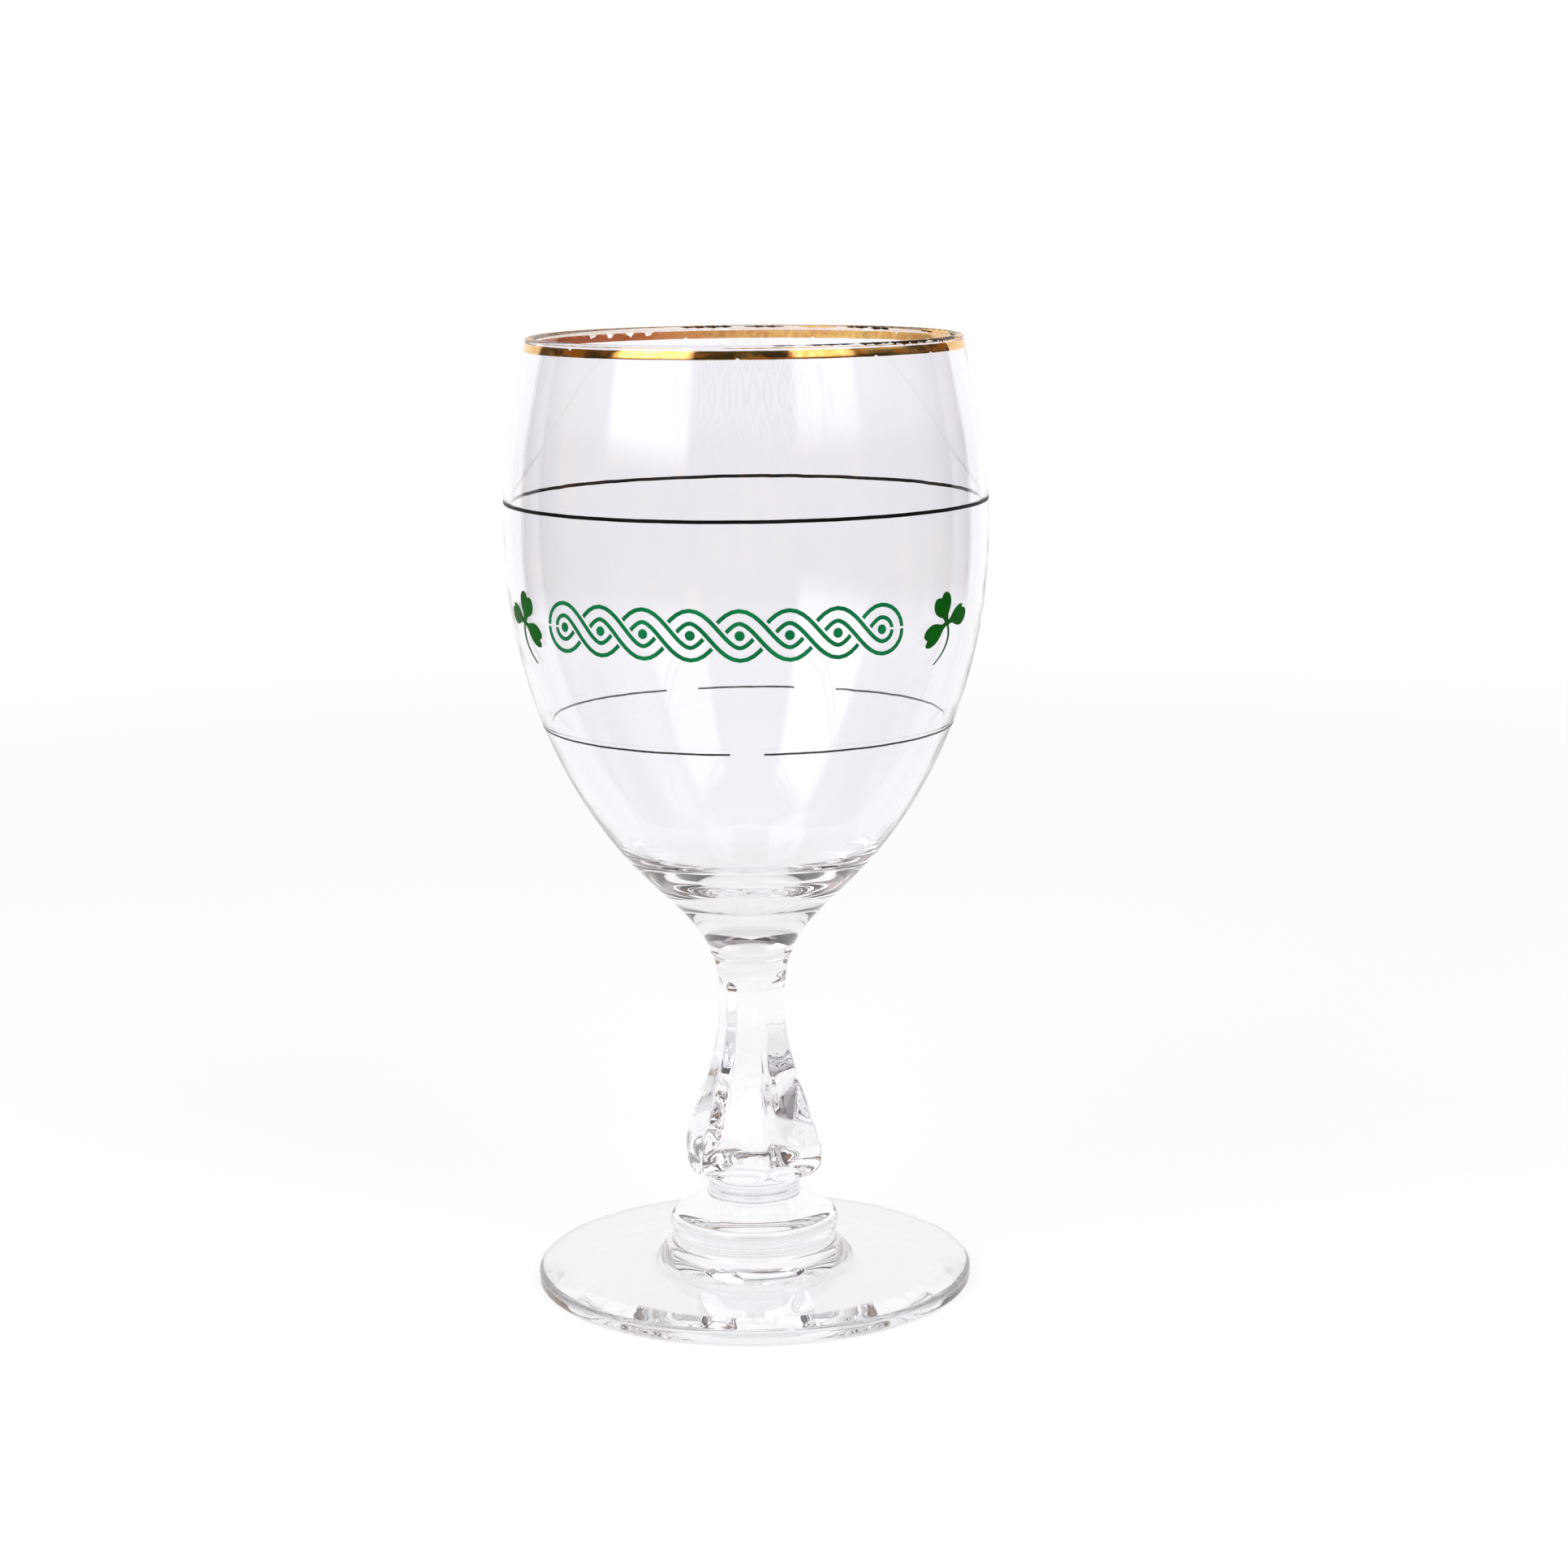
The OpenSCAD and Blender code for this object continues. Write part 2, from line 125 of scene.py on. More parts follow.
corner = np.vstack([np.zeros(3), np.eye(3)])
corner_faces = np.array([[0, 2, 1], [0, 1, 3], [0, 3, 2], [1, 2, 3]])
print("corner cut off a unit cube: %.4f" % volume(corner, [corner_faces]))

# %% A piece from points and faces
SHARP_ANGLE = 50

def mesh_piece(name, points, faces, marked=None):
    """Object from points in mm and arrays of faces. Marked faces get the second material."""
    if volume(points, faces) < 0:
        faces = [f[:, ::-1] for f in faces]
    corners = np.concatenate([f.ravel() for f in faces])
    counts = np.concatenate([np.full(len(f), f.shape[1]) for f in faces])
    used, corners = np.unique(corners, return_inverse=True)
    mesh = bpy.data.meshes.new(name)
    mesh.vertices.add(len(used))
    mesh.vertices.foreach_set("co", (points[used] * MM).ravel())
    mesh.loops.add(len(corners))
    mesh.loops.foreach_set("vertex_index", corners.ravel().astype(np.int32))
    mesh.polygons.add(len(counts))
    loop_starts = np.append(0, np.cumsum(counts)[:-1])
    mesh.polygons.foreach_set("loop_start", loop_starts.astype(np.int32))
    if marked is not None:
        mesh.polygons.foreach_set("material_index", np.concatenate(marked).astype(np.int32))
    mesh.update(calc_edges=True)
    mesh.validate()
    mesh.shade_smooth()
    mesh.set_sharp_from_angle(angle=math.radians(SHARP_ANGLE))
    piece = bpy.data.objects.new(name, mesh)
    scene.collection.objects.link(piece)
    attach(piece, "root")
    print("%s: %d faces, %.2f ml" % (name, len(counts), abs(volume(points, faces)) / 1000))
    return piece

# %% [markdown]
# ## Closing a grid
# Only a closed skin has an inside, and light is bent rightly only by something that has one. Each
# outline here starts and ends on the axis. Its first and last rows are poles, where the grid closes
# with a fan of triangles.

# %% A closed skin from a grid
def skin(name, grid, flat_ends):
    """Closed skin from a grid with a pole at each end. The ends named in flat_ends, 0 or -1, are
    fans that get the second material."""
    rows, columns = grid.shape[:2]
    index = np.arange(rows * columns).reshape(rows, columns)
    beside = np.roll(index, -1, axis=1)
    a, b = index[1:-1], beside[1:-1]
    quads = np.stack([a[:-1], b[:-1], b[1:], a[1:]], -1).reshape(-1, 4)
    faces, marked = [quads], [np.zeros(len(quads))]
    for end, near, way_round in ((0, 1, 1), (-1, -2, -1)):
        fan = np.stack([np.full(columns, index[end, 0]), beside[near], index[near]], -1)
        faces.append(fan[:, ::way_round])
        marked.append(np.full(columns, end in flat_ends))
    return mesh_piece(name, grid.reshape(-1, 3), faces, marked)

# %% [markdown]
# ## The bowl
# The bowl is blown, so its wall is thin at the lip and thickens towards the floor, where most of
# the gather stays. Outside and inside are two chains of bends. The inside of the body is the
# outside moved inwards by a wall that thins upwards, and the floor and the lip close it. One
# outline that runs from the weld, up the outside, over the lip and down the inside makes the whole
# skin. A modifier that thickens one surface would give an even wall, which no blown glass has.

# %% Sizes of the bowl
FOOT_H, STEM_H, BOWL_H = 13.8, 39.85, 96.35
WELD_Z = FOOT_H + STEM_H
LIP_Z = WELD_Z + BOWL_H
WELD_R, WELD_LEAN = 6.51, 21.0
TURN_AT, TURN_LEAN = (15.55, WELD_Z + 11.05), 45.9
BELLY_R, BELLY_Z = 37.45, WELD_Z + 66.05
LIP_R, LIP_LEAN, LIP_ROUND = 33.5, 11.7, 0.55
FLARE_PULLS, BODY_PULLS, TOP_PULLS = (0.306, 0.415), (0.32, 0.355), (0.43, 0.40)
FLARE_STEPS, BODY_STEPS, TOP_STEPS, LIP_STEPS = 24, 84, 44, 18
lip_side = np.array([math.cos(math.radians(LIP_LEAN)), math.sin(math.radians(LIP_LEAN))])
lip_centre = np.array([LIP_R, LIP_Z - LIP_ROUND]) - [LIP_ROUND * lip_side[0], 0]
print("the glass is %.1f mm high and %.1f mm wide" % (LIP_Z, 2 * BELLY_R))

# %% Outside of the bowl
body_outside = bend(TURN_AT, TURN_LEAN, (BELLY_R, BELLY_Z), UP, BODY_PULLS, BODY_STEPS)
bowl_outside = chain(
    bend((WELD_R, WELD_Z), WELD_LEAN, TURN_AT, TURN_LEAN, FLARE_PULLS, FLARE_STEPS),
    body_outside,
    bend((BELLY_R, BELLY_Z), UP, lip_centre + LIP_ROUND * lip_side, -LIP_LEAN, TOP_PULLS,
         TOP_STEPS))
print("outside of the bowl: %d points" % len(bowl_outside))

# %% Inside of the bowl
BELLY_WALL, BASE_WALL, THINNING = 1.1, 1.5, 2.0
FLOOR_Z, FLOOR_FROM = WELD_Z + 11.5, 13
FLOOR_PULLS, FLOOR_STEPS = (0.50, 0.25), 54

def inside_of(outline, thick, thin, power):
    """The outline moved inwards, square to its own direction, by thin + (thick - thin) left^power,
    where left is the share of the way up that is left."""
    step = np.gradient(outline, axis=0)
    step /= np.linalg.norm(step, axis=1)[:, None]
    left = np.linspace(1, 0, len(outline))[:, None]
    wall = thin + (thick - thin) * left ** power
    return outline - wall * np.stack([step[:, 1], -step[:, 0]], -1)

body_inside = inside_of(body_outside[FLOOR_FROM:], BASE_WALL, BELLY_WALL, THINNING)
start = body_inside[1] - body_inside[0]
floor_lean = math.degrees(math.atan2(start[0], start[1]))
bowl_inside = chain(
    bend((0, FLOOR_Z), OUTWARDS, body_inside[0], floor_lean, FLOOR_PULLS, FLOOR_STEPS),
    body_inside,
    bend((BELLY_R - BELLY_WALL, BELLY_Z), UP, lip_centre - LIP_ROUND * lip_side, -LIP_LEAN,
         TOP_PULLS, TOP_STEPS))
print("floor meets the wall at", body_inside[0])

# %% [markdown]
# ## Ripples on the floor of the bowl
# Where the blower's gather settles, the floor keeps a few faint rings. They are under a twentieth
# of a millimetre high, yet the thick glass below acts as a lens and they make its reflections
# waver. Only the skin has them, as real height, because a bump would tilt only the shading.

# %% Skin of the bowl
RIPPLE_H, RIPPLE_W, RIPPLE_R = 0.045, 2.1, 7.5

def rippled(line):
    """Line raised by RIPPLE_H (1 - (r / RIPPLE_R)^2)^2 cos(2 pi r / RIPPLE_W), out to RIPPLE_R."""
    r, z = line[:, 0], line[:, 1]
    fading = np.clip(1 - (r / RIPPLE_R) ** 2, 0, 1) ** 2
    return np.stack([r, z + RIPPLE_H * fading * np.cos(2 * np.pi * r / RIPPLE_W)], -1)

lip = rounded(lip_centre, LIP_ROUND, LIP_LEAN, 180 + LIP_LEAN, LIP_STEPS)
bowl_outline = chain([[0, WELD_Z]], bowl_outside, lip, rippled(bowl_inside)[::-1])
bowl_glass = skin("bowl_glass", revolve(bowl_outline), flat_ends=(0,))
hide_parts("bowl")

# %% [markdown]
# ## The stem
# The stem is pressed in a mould with six panels. Down a round blank the mould leaves, at each
# turn, the nearer of the blank and the panels, so the radius is the smaller of the two. A plain
# minimum would give knife edges. Fire polishing softens them, so a smooth minimum is used: high
# powers of the inverse radii are added, which rounds the corners by about a tenth of a millimetre.

# %% Sizes of the stem
PANELS, PANEL_TURN, SHARPNESS = 6, 19.5, 60
NECK, NECK_PULLS, NECK_STEPS = (5.46, FOOT_H + 33.5), (0.30, 0.39), 30
RUN_OUT, RUN_OUT_LEAN = (5.95, FOOT_H + 36.4), 48.0
RUN_OUT_PULLS, RUN_OUT_STEPS = (0.40, 0.25), 24
WAIST, BULGE = (4.82, FOOT_H + 30.5), (9.97, FOOT_H + 7.4)
PANEL_PULLS, PANEL_STEPS = (0.395, 0.169), 90
UNDERSIDE_LEAN, UNDERSIDE_PULLS, UNDERSIDE_STEPS = 86, (0.55, 0.55), 44
BEAD_H, BEAD_PROUD, BEAD_STEPS = 0.9, 0.15, 12
COLLAR_TOP, COLLAR_FOOT = (6.8, FOOT_H + 3.4), (7.44, FOOT_H)
RINGS, RING_PROUD, RING_STEPS = 3, 0.16, 12
CLEARANCE = 0.5
print("stem: from %.2f to %.2f mm above the table" % (FOOT_H, WELD_Z))

# %% Line of the panels
panel_line = bend(WAIST, DOWN, BULGE, DOWN, PANEL_PULLS, PANEL_STEPS)
panel_side = chain(
    [[WELD_R + 1, WELD_Z + 1], [RUN_OUT[0] + 1, RUN_OUT[1] + 1]],
    bend(RUN_OUT, DOWN + RUN_OUT_LEAN, WAIST, DOWN, RUN_OUT_PULLS, RUN_OUT_STEPS),
    panel_line,
    [[BULGE[0], 0]])
corner_line = panel_line * [1 / math.cos(math.pi / PANELS), 1]
print("panels: %.2f mm from the axis at the waist, %.2f mm at the bulge" % (WAIST[0], BULGE[0]))

# %% Line of the round blank
def bead(count):
    """The seam of the weld: a straight taper with half a sine wave that stands proud of it."""
    t = np.linspace(0, 1, count + 1)
    taper = WELD_R - BEAD_H * t * math.tan(math.radians(WELD_LEAN))
    return np.stack([taper + BEAD_PROUD * np.sin(np.pi * t), WELD_Z - BEAD_H * t], -1)

def collar(count):
    """The collar: a straight taper with fine rings, each the arch of a sine wave."""
    t = np.linspace(0, 1, RINGS * count + 1)
    taper = COLLAR_TOP[0] + (COLLAR_FOOT[0] - COLLAR_TOP[0]) * t
    return np.stack([taper + RING_PROUD * np.abs(np.sin(np.pi * RINGS * t)),
                     COLLAR_TOP[1] + (COLLAR_FOOT[1] - COLLAR_TOP[1]) * t], -1)

blank = chain(
    bead(BEAD_STEPS),
    bend(bead(1)[-1], DOWN + WELD_LEAN, NECK, DOWN, NECK_PULLS, NECK_STEPS),
    corner_line[corner_line[:, 1] < NECK[1] - CLEARANCE],
    bend(corner_line[-1], DOWN, COLLAR_TOP, DOWN + UNDERSIDE_LEAN, UNDERSIDE_PULLS,
         UNDERSIDE_STEPS),
    collar(RING_STEPS))
print("blank: %d points" % len(blank))

# %% Pressing the blank
def pressed(blank_line):
    """Grid of the stem: 1 / r^k is the sum of 1 / blank^k and, for each panel, of
    (cos(angle to the panel) / its distance)^k, where k is SHARPNESS."""
    height = blank_line[:, 1]
    distance = np.interp(height, panel_side[::-1, 1], panel_side[::-1, 0])[:, None]
    total = (1 / blank_line[:, :1]) ** SHARPNESS + 0 * turn
    for panel in range(PANELS):
        facing = math.radians(PANEL_TURN + (panel + 0.5) * 360 / PANELS)
        total = total + (np.clip(np.cos(turn - facing), 0, 1) / distance) ** SHARPNESS
    r = total ** (-1 / SHARPNESS)
    return np.stack([r * np.sin(turn), -r * np.cos(turn), height[:, None] + 0 * turn], -1)

top, bottom = (revolve(np.array([[0, z]])) for z in (WELD_Z, FOOT_H))
stem_glass = skin("stem_glass", np.vstack([top, pressed(blank), bottom]), flat_ends=(0, -1))
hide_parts("stem")

# %% [markdown]
# ## The foot
# The foot is a pressed disc: a coned knop with a rounded shoulder, a cove that runs out into the
# disc, a rounded rim and a flat ring to rest on. It is one outline turned round. Inside the ring
# the underside stays almost level for a few millimetres before a shallow hollow opens. Only the
# skin has this level zone. Seen through the front of the foot it is a perfect mirror of the dark
# room, and that draws the dark crescent there.

# %% Sizes of the foot
SHOULDER, SHOULDER_ROUND = (13.45, 9.35), 1.8
COVE, COVE_LEAN, COVE_PULLS = (18.0, 4.4), 20, (0.50, 0.55)
FOOT_R, RIM_H, RIM_ROUND, BASE_ROUND, REST_W = 34.6, 2.5, 0.9, 0.6, 3.4
LEVEL_TO, LEVEL_RISE, LEVEL_PULLS = (27.0, 0.05), 2, (0.40, 0.40)
HOLLOW_H, HOLLOW_RISE, HOLLOW_PULLS = 1.8, 8, (0.35, 0.45)
disc_fall = math.degrees(math.atan2(COVE[1] - RIM_H, FOOT_R - COVE[0]))
shoulder_centre = np.array([SHOULDER[0] - SHOULDER_ROUND, SHOULDER[1]])
to_centre = shoulder_centre - COLLAR_FOOT
cone_fall = math.degrees(math.atan2(-to_centre[1], to_centre[0])
                         - math.asin(SHOULDER_ROUND / np.linalg.norm(to_centre)))
print("the knop falls by %.1f degrees, the disc by %.1f degrees" % (cone_fall, disc_fall))

# %% Outline and skin of the foot
def straight(start, end, count):
    """Evenly spaced points on a line."""
    t = np.linspace(0, 1, count + 1)[:, None]
    return np.array(start) * (1 - t) + np.array(end) * t

shoulder = rounded(shoulder_centre, SHOULDER_ROUND, 90 - cone_fall, -COVE_LEAN, 16)
rim = rounded((FOOT_R - RIM_ROUND, RIM_H - RIM_ROUND), RIM_ROUND, 90 - disc_fall, 0, 14)
foot_outline = chain(
    [[0, FOOT_H]],
    straight(COLLAR_FOOT, shoulder[0], 14), shoulder,
    bend(shoulder[-1], DOWN + COVE_LEAN, COVE, OUTWARDS + disc_fall, COVE_PULLS, 40),
    straight(COVE, rim[0], 30), rim,
    rounded((FOOT_R - BASE_ROUND, BASE_ROUND), BASE_ROUND, 0, -90, 12),
    bend((FOOT_R - BASE_ROUND - REST_W, 0), INWARDS, LEVEL_TO, INWARDS + LEVEL_RISE,
         LEVEL_PULLS, 12),
    bend(LEVEL_TO, INWARDS + HOLLOW_RISE, (0, HOLLOW_H), INWARDS, HOLLOW_PULLS, 60))
foot_glass = skin("foot_glass", revolve(foot_outline), flat_ends=(0,))
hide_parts("foot")

# %% [markdown]
# ## Node helpers
# A material is a small circuit. Most of its nodes add, multiply or ramp one number. A few helpers
# that make such a node and wire it in one line keep the circuits short enough to read. Every
# texture is placed on the piece itself, so it stays where it is when the piece moves.

# %% Numbers in a circuit
def new_material(name):
    """A material with its node tree and its Principled shader."""
    material = bpy.data.materials.new(name)
    material.use_nodes = True
    return material, material.node_tree, material.node_tree.nodes["Principled BSDF"]

def maths(tree, operation, *values):
    """A Math node. Each value is a number or another node's output."""
    node = tree.nodes.new("ShaderNodeMath")
    node.operation = operation
    for socket, value in zip(node.inputs, values):
        if isinstance(value, bpy.types.NodeSocket):
            tree.links.new(value, socket)
        else:
            socket.default_value = value
    return node.outputs[0]

def times(tree, first, second):
    """Product of two values."""
    return maths(tree, "MULTIPLY", first, second)

def plus(tree, first, second):
    """Sum of two values."""
    return maths(tree, "ADD", first, second)

def ramp(tree, value, start, end, low=0.0, high=1.0):
    """Smooth rise from low to high while the value goes from start to end."""
    node = tree.nodes.new("ShaderNodeMapRange")
    node.interpolation_type = "SMOOTHSTEP"
    tree.links.new(value, node.inputs["Value"])
    numbers = (("From Min", start), ("From Max", end), ("To Min", low), ("To Max", high))
    for socket, number in numbers:
        node.inputs[socket].default_value = number
    return node.outputs["Result"]

# %% Places, noise, colours and bumps
def place_on_object(tree):
    """Place on the piece, in metres."""
    return tree.nodes.new("ShaderNodeTexCoord").outputs["Object"]

def parts_of(tree, place):
    """The x, y and z of a place."""
    node = tree.nodes.new("ShaderNodeSeparateXYZ")
    tree.links.new(place, node.inputs[0])
    return node.outputs

def noise(tree, place, grain_mm, detail=2.0):
    """Soft noise from 0 to 1 whose blots are about grain_mm across."""
    node = tree.nodes.new("ShaderNodeTexNoise")
    node.inputs["Scale"].default_value = 1000 / grain_mm
    node.inputs["Detail"].default_value = detail
    tree.links.new(place, node.inputs["Vector"])
    return node.outputs[0]

def blend(tree, share, first, second):
    """Colour between two others, by a share that a node gives. Either may be a node's output."""
    node = tree.nodes.new("ShaderNodeMix")
    node.data_type = "RGBA"
    tree.links.new(share, node.inputs["Factor"])
    sockets = [i for i in node.inputs if i.type == "RGBA"]
    for socket, colour in zip(sockets, (first, second)):
        if isinstance(colour, bpy.types.NodeSocket):
            tree.links.new(colour, socket)
        else:
            socket.default_value = (*colour, 1)
    return [o for o in node.outputs if o.type == "RGBA"][0]

def bumpy(tree, shader, height, strength, distance_mm):
    """Tilts the shading by a height, without moving the surface."""
    node = tree.nodes.new("ShaderNodeBump")
    node.inputs["Strength"].default_value = strength
    node.inputs["Distance"].default_value = distance_mm * MM
    tree.links.new(height, node.inputs["Height"])
    tree.links.new(node.outputs[0], shader.inputs["Normal"])

# %% [markdown]
# ## Clear glass
# The glass is colourless soda glass with a bright fire polish, so the Principled shader has full
# transmission and an index of refraction of 1.52. Real glass is never quite even: a blown skin has
# long, faint waves, and a pressed one keeps a little of the mould's texture, so each piece gets
# its own slow bump. Round the weld the glass is painted a greyer brown, and at the rim of the foot
# a greyer lavender. Both are painted shade, for the dark room that the thick cone and the edge of
# the disc show. Where two pieces are welded there is no air between them, so light must not bend
# there: those faces get a second material that lets it straight through.

# %% A recipe for clear glass
INDEX, WAVE_MM = 1.52, 0.5
# The weld and rim colours are painted shade: greyer glass round the weld and at the foot's rim.
TINT, WELD_SHADE, RIM_SHADE = (0.979, 0.973, 1.0), (0.88, 0.86, 0.855), (0.86, 0.85, 0.88)
WELD_SHADE_AT, WELD_SHADE_REACH = (WELD_Z + 5) * MM, (0.004, 0.012)
RIM_SHADE_REACH = (0.0332, 0.0345)

def glass(name, grain_mm, strength, rim_shade=None):
    """Clear glass with slow waves in its skin. It is painted darker towards the weld, as painted
    shade, and towards the rim if a painted rim shade is given."""
    material, tree, shader = new_material(name)
    place = place_on_object(tree)
    x, y, z = parts_of(tree, place)
    from_weld = maths(tree, "ABSOLUTE", maths(tree, "SUBTRACT", z, WELD_SHADE_AT))
    colour = blend(tree, ramp(tree, from_weld, *WELD_SHADE_REACH), WELD_SHADE, TINT)
    if rim_shade:
        radius = maths(tree, "SQRT", plus(tree, times(tree, x, x), times(tree, y, y)))
        colour = blend(tree, ramp(tree, radius, *RIM_SHADE_REACH), colour, rim_shade)
    tree.links.new(colour, shader.inputs["Base Color"])
    shader.inputs["Transmission Weight"].default_value = 1
    shader.inputs["Roughness"].default_value = 0.0
    shader.inputs["IOR"].default_value = INDEX
    bumpy(tree, shader, noise(tree, place, grain_mm), strength, WAVE_MM)
    return material

# %% Glass and welds
weld, _, weld_shader = new_material("weld")
weld_shader.inputs["Alpha"].default_value = 0
weld_shader.inputs["Specular IOR Level"].default_value = 0
for piece, grain_mm, strength, rim_shade in (
        (bowl_glass, 9, 0.05, None), (stem_glass, 4, 0.12, None), (foot_glass, 8, 0.04, RIM_SHADE)):
    piece.data.materials.append(glass(piece.name + "_clear", grain_mm, strength, rim_shade))
    piece.data.materials.append(weld)
    print(piece.name, "wears", [look.name for look in piece.data.materials])

# %% [markdown]
# ## What is fired onto the bowl
# Gold, hair lines and prints are films of paint or lustre that are laid on the finished glass and
# fired again. There is no air under a film, so its inner side is sunk a hair into the glass. Looked
# at through the glass it then shows its own colour, as the real one does, and not the mirror that a
# gap of air would make. A brushed film is full in its middle and thin at its edges. A film is drawn
# by walking along the outline of the bowl, so the same few lines can lay one on the wall and over
# the lip.

# %% Walking along the outline of the bowl
SEAT, LAYER, EDGE = -0.03, 0.12, 0.02
walk = np.append(0, np.cumsum(np.linalg.norm(np.diff(bowl_outline, axis=0), axis=1)))
outline_step = np.gradient(bowl_outline, walk, axis=0)
outline_step /= np.linalg.norm(outline_step, axis=1)[:, None]
LIP_WALK = walk[np.argmax(bowl_outline[:, 1])]

def walk_at(height):
    """Distance walked up the outside when it reaches a height."""
    return np.interp(height, bowl_outside[:, 1], walk[1:len(bowl_outside) + 1])

def on_bowl(distance, turns, proud):
    """Points after a distance along the outline, moved out of the glass, square to the outline,
    by proud."""
    r, z = (np.interp(distance, walk, bowl_outline[:, k]) for k in (0, 1))
    step_r, step_z = (np.interp(distance, walk, outline_step[:, k]) for k in (0, 1))
    r, z = r + proud * step_z, z - proud * step_r
    return np.stack([r * np.sin(turns), -r * np.cos(turns), z], -1)

print("walk over the lip: %.2f mm, top of the lip after %.2f mm" % (walk[-1], LIP_WALK))

# %% A film over strips of the bowl
ACROSS, FEWEST_STEPS = 8, 6

def strip_grid(strip, loop_v, loop_proud, step):
    """Rows of points along a strip, each a loop round its section, and whether the strip goes the
    whole way round. A strip is (first turn, last turn, low edge, high edge): turns in degrees,
    edges as distances along the outline or as functions of the turn."""
    first, last, low, high = strip
    closed = last - first >= 360
    steps = max(int(math.ceil((last - first) / step)), FEWEST_STEPS)
    turns = np.linspace(first, last, steps + 1)[:steps if closed else steps + 1]
    low, high = (edge(turns) if callable(edge) else edge + 0 * turns for edge in (low, high))
    distance = low[:, None] + (high - low)[:, None] * loop_v
    return on_bowl(distance, np.radians(turns)[:, None], loop_proud), closed

def film(name, strips, proud, step=0.5):
    """Closed film over strips. Across a strip, where v goes from 0 to 1, it stands off the glass by
    EDGE + (proud - EDGE) (1 - (2v - 1)^4). Its inner side gets the second material."""
    v = np.linspace(0, 1, ACROSS + 1)
    loop_v = np.append(v, v[::-1])
    loop_proud = np.append(EDGE + (proud - EDGE) * (1 - (2 * v - 1) ** 4), np.full(len(v), SEAT))
    m, k = len(loop_v), np.arange(ACROSS)
    points, faces, glass_side, count = [], [], [], 0
    for strip in strips:
        grid, closed = strip_grid(strip, loop_v, loop_proud, step)
        points.append(grid.reshape(-1, 3))
        index = count + np.arange(len(grid) * m).reshape(len(grid), m)
        count += index.size
        here, beside = (index, np.roll(index, -1, 0)) if closed else (index[:-1], index[1:])
        quads = np.stack([here, beside, np.roll(beside, -1, 1), np.roll(here, -1, 1)], -1)
        faces.append(quads.reshape(-1, 4))
        glass_side.append(np.tile(np.arange(m) > ACROSS, len(here)))
        for end, way_round in () if closed else ((index[0], 1), (index[-1], -1)):
            cap = np.stack([end[k], end[k + 1], end[m - 2 - k], end[m - 1 - k]], -1)
            faces.append(cap[:, ::way_round])
            glass_side.append(np.zeros(ACROSS))
    return mesh_piece(name, np.vstack(points), faces, glass_side)

# %% [markdown]
# ## The gold band
# Bright gold is painted on with a brush while the glass turns on a wheel. Here it has been washed
# many times: the lower edge has small nicks, and the upper edge is chipped at the far left. The
# band's edges are functions of the turn, so the wear is in the shape and stays sharp up close,
# where a painted mask would blur.

# %% Wear of an edge
def ragged(turns, size, shift=0.0):
    """Uneven edge: size (0.5 sin 23t + 0.3 sin(57t + 2) + 0.2 sin(131t + 4))."""
    t = np.radians(turns) + shift
    return size * (0.5 * np.sin(23 * t) + 0.3 * np.sin(57 * t + 2) + 0.2 * np.sin(131 * t + 4))

def nicks(turns, places, depth, half_width):
    """Small bites out of an edge: depth * exp(-(distance to a place / half width)^4)."""
    away = (turns[:, None] - np.array(places) + 180) % 360 - 180
    return (depth * np.exp(-(away / half_width) ** 4)).sum(1)

# %% Gold band
GOLD_PROUD, GOLD_STEP, UNEVEN = 0.05, 0.25, 0.02
GOLD_LOW, GOLD_HIGH = walk_at(LIP_Z - 2.0), walk_at(LIP_Z - 0.75)
LOW_NICKS, HIGH_NICKS = (5.8, 41.8, 61.6, 76, 168, 204, 292), (140, 318)
CHIPS = (215.2, 221.3, 228.0, 234.4)

def gold_low(t):
    """Lower edge of the band, with small nicks."""
    return GOLD_LOW + ragged(t, UNEVEN) + nicks(t, LOW_NICKS, 0.2, 0.45)

def gold_high(t):
    """Upper edge of the band, with two nicks, and chips at the far left."""
    chips = nicks(t, CHIPS, 0.6 + ragged(t[:, None] * 4, 0.3), 1.1)
    return GOLD_HIGH + ragged(t, UNEVEN, 1.0) - nicks(t, HIGH_NICKS, 0.3, 0.5) - chips

gold_band = film("gold_band", [(0, 360, gold_low, gold_high)], proud=GOLD_PROUD, step=GOLD_STEP)
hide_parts("gold_rim")

# %% [markdown]
# ## What is left of the gilt lip
# Gold once ran over the lip. Of it only flakes, a thin line and a see-through blush of lustre are
# left, most of them on the far side. Some flakes are gold. The others are painted nearly black, as
# painted shade for the dark room that they mirror. Each flake is a short strip that swells and
# closes again, so it is a thin closed film like the band itself.

# %% Flakes and lustre on the lip
LUSTRE_PROUD, THINNEST = 0.02, 0.012

def flake(first, last, middle, width, shift):
    """Strip about a middle line. Its half width is THINNEST + width / 2 (1 - u^4)^0.7, with u from
    -1 to 1 along it, and both its edges are uneven."""
    def swell(t):
        """Half width at each turn."""
        u = np.clip(2 * (t - first) / (last - first) - 1, -1, 1)
        return THINNEST + width / 2 * (1 - u ** 4) ** 0.7 * (1 + ragged(t * 4, 0.8, shift))
    return (first, last, lambda t: LIP_WALK + middle - swell(t),
            lambda t: LIP_WALK + middle + swell(t + 0.4))

def lip_film(name, flakes, proud=GOLD_PROUD):
    """Film of flakes: each is (first turn, last turn, distance past the top of the lip, width)."""
    strips = [flake(*f, shift=k) for k, f in enumerate(flakes)]
    piece = film(name, strips, proud, step=GOLD_STEP)
    return piece
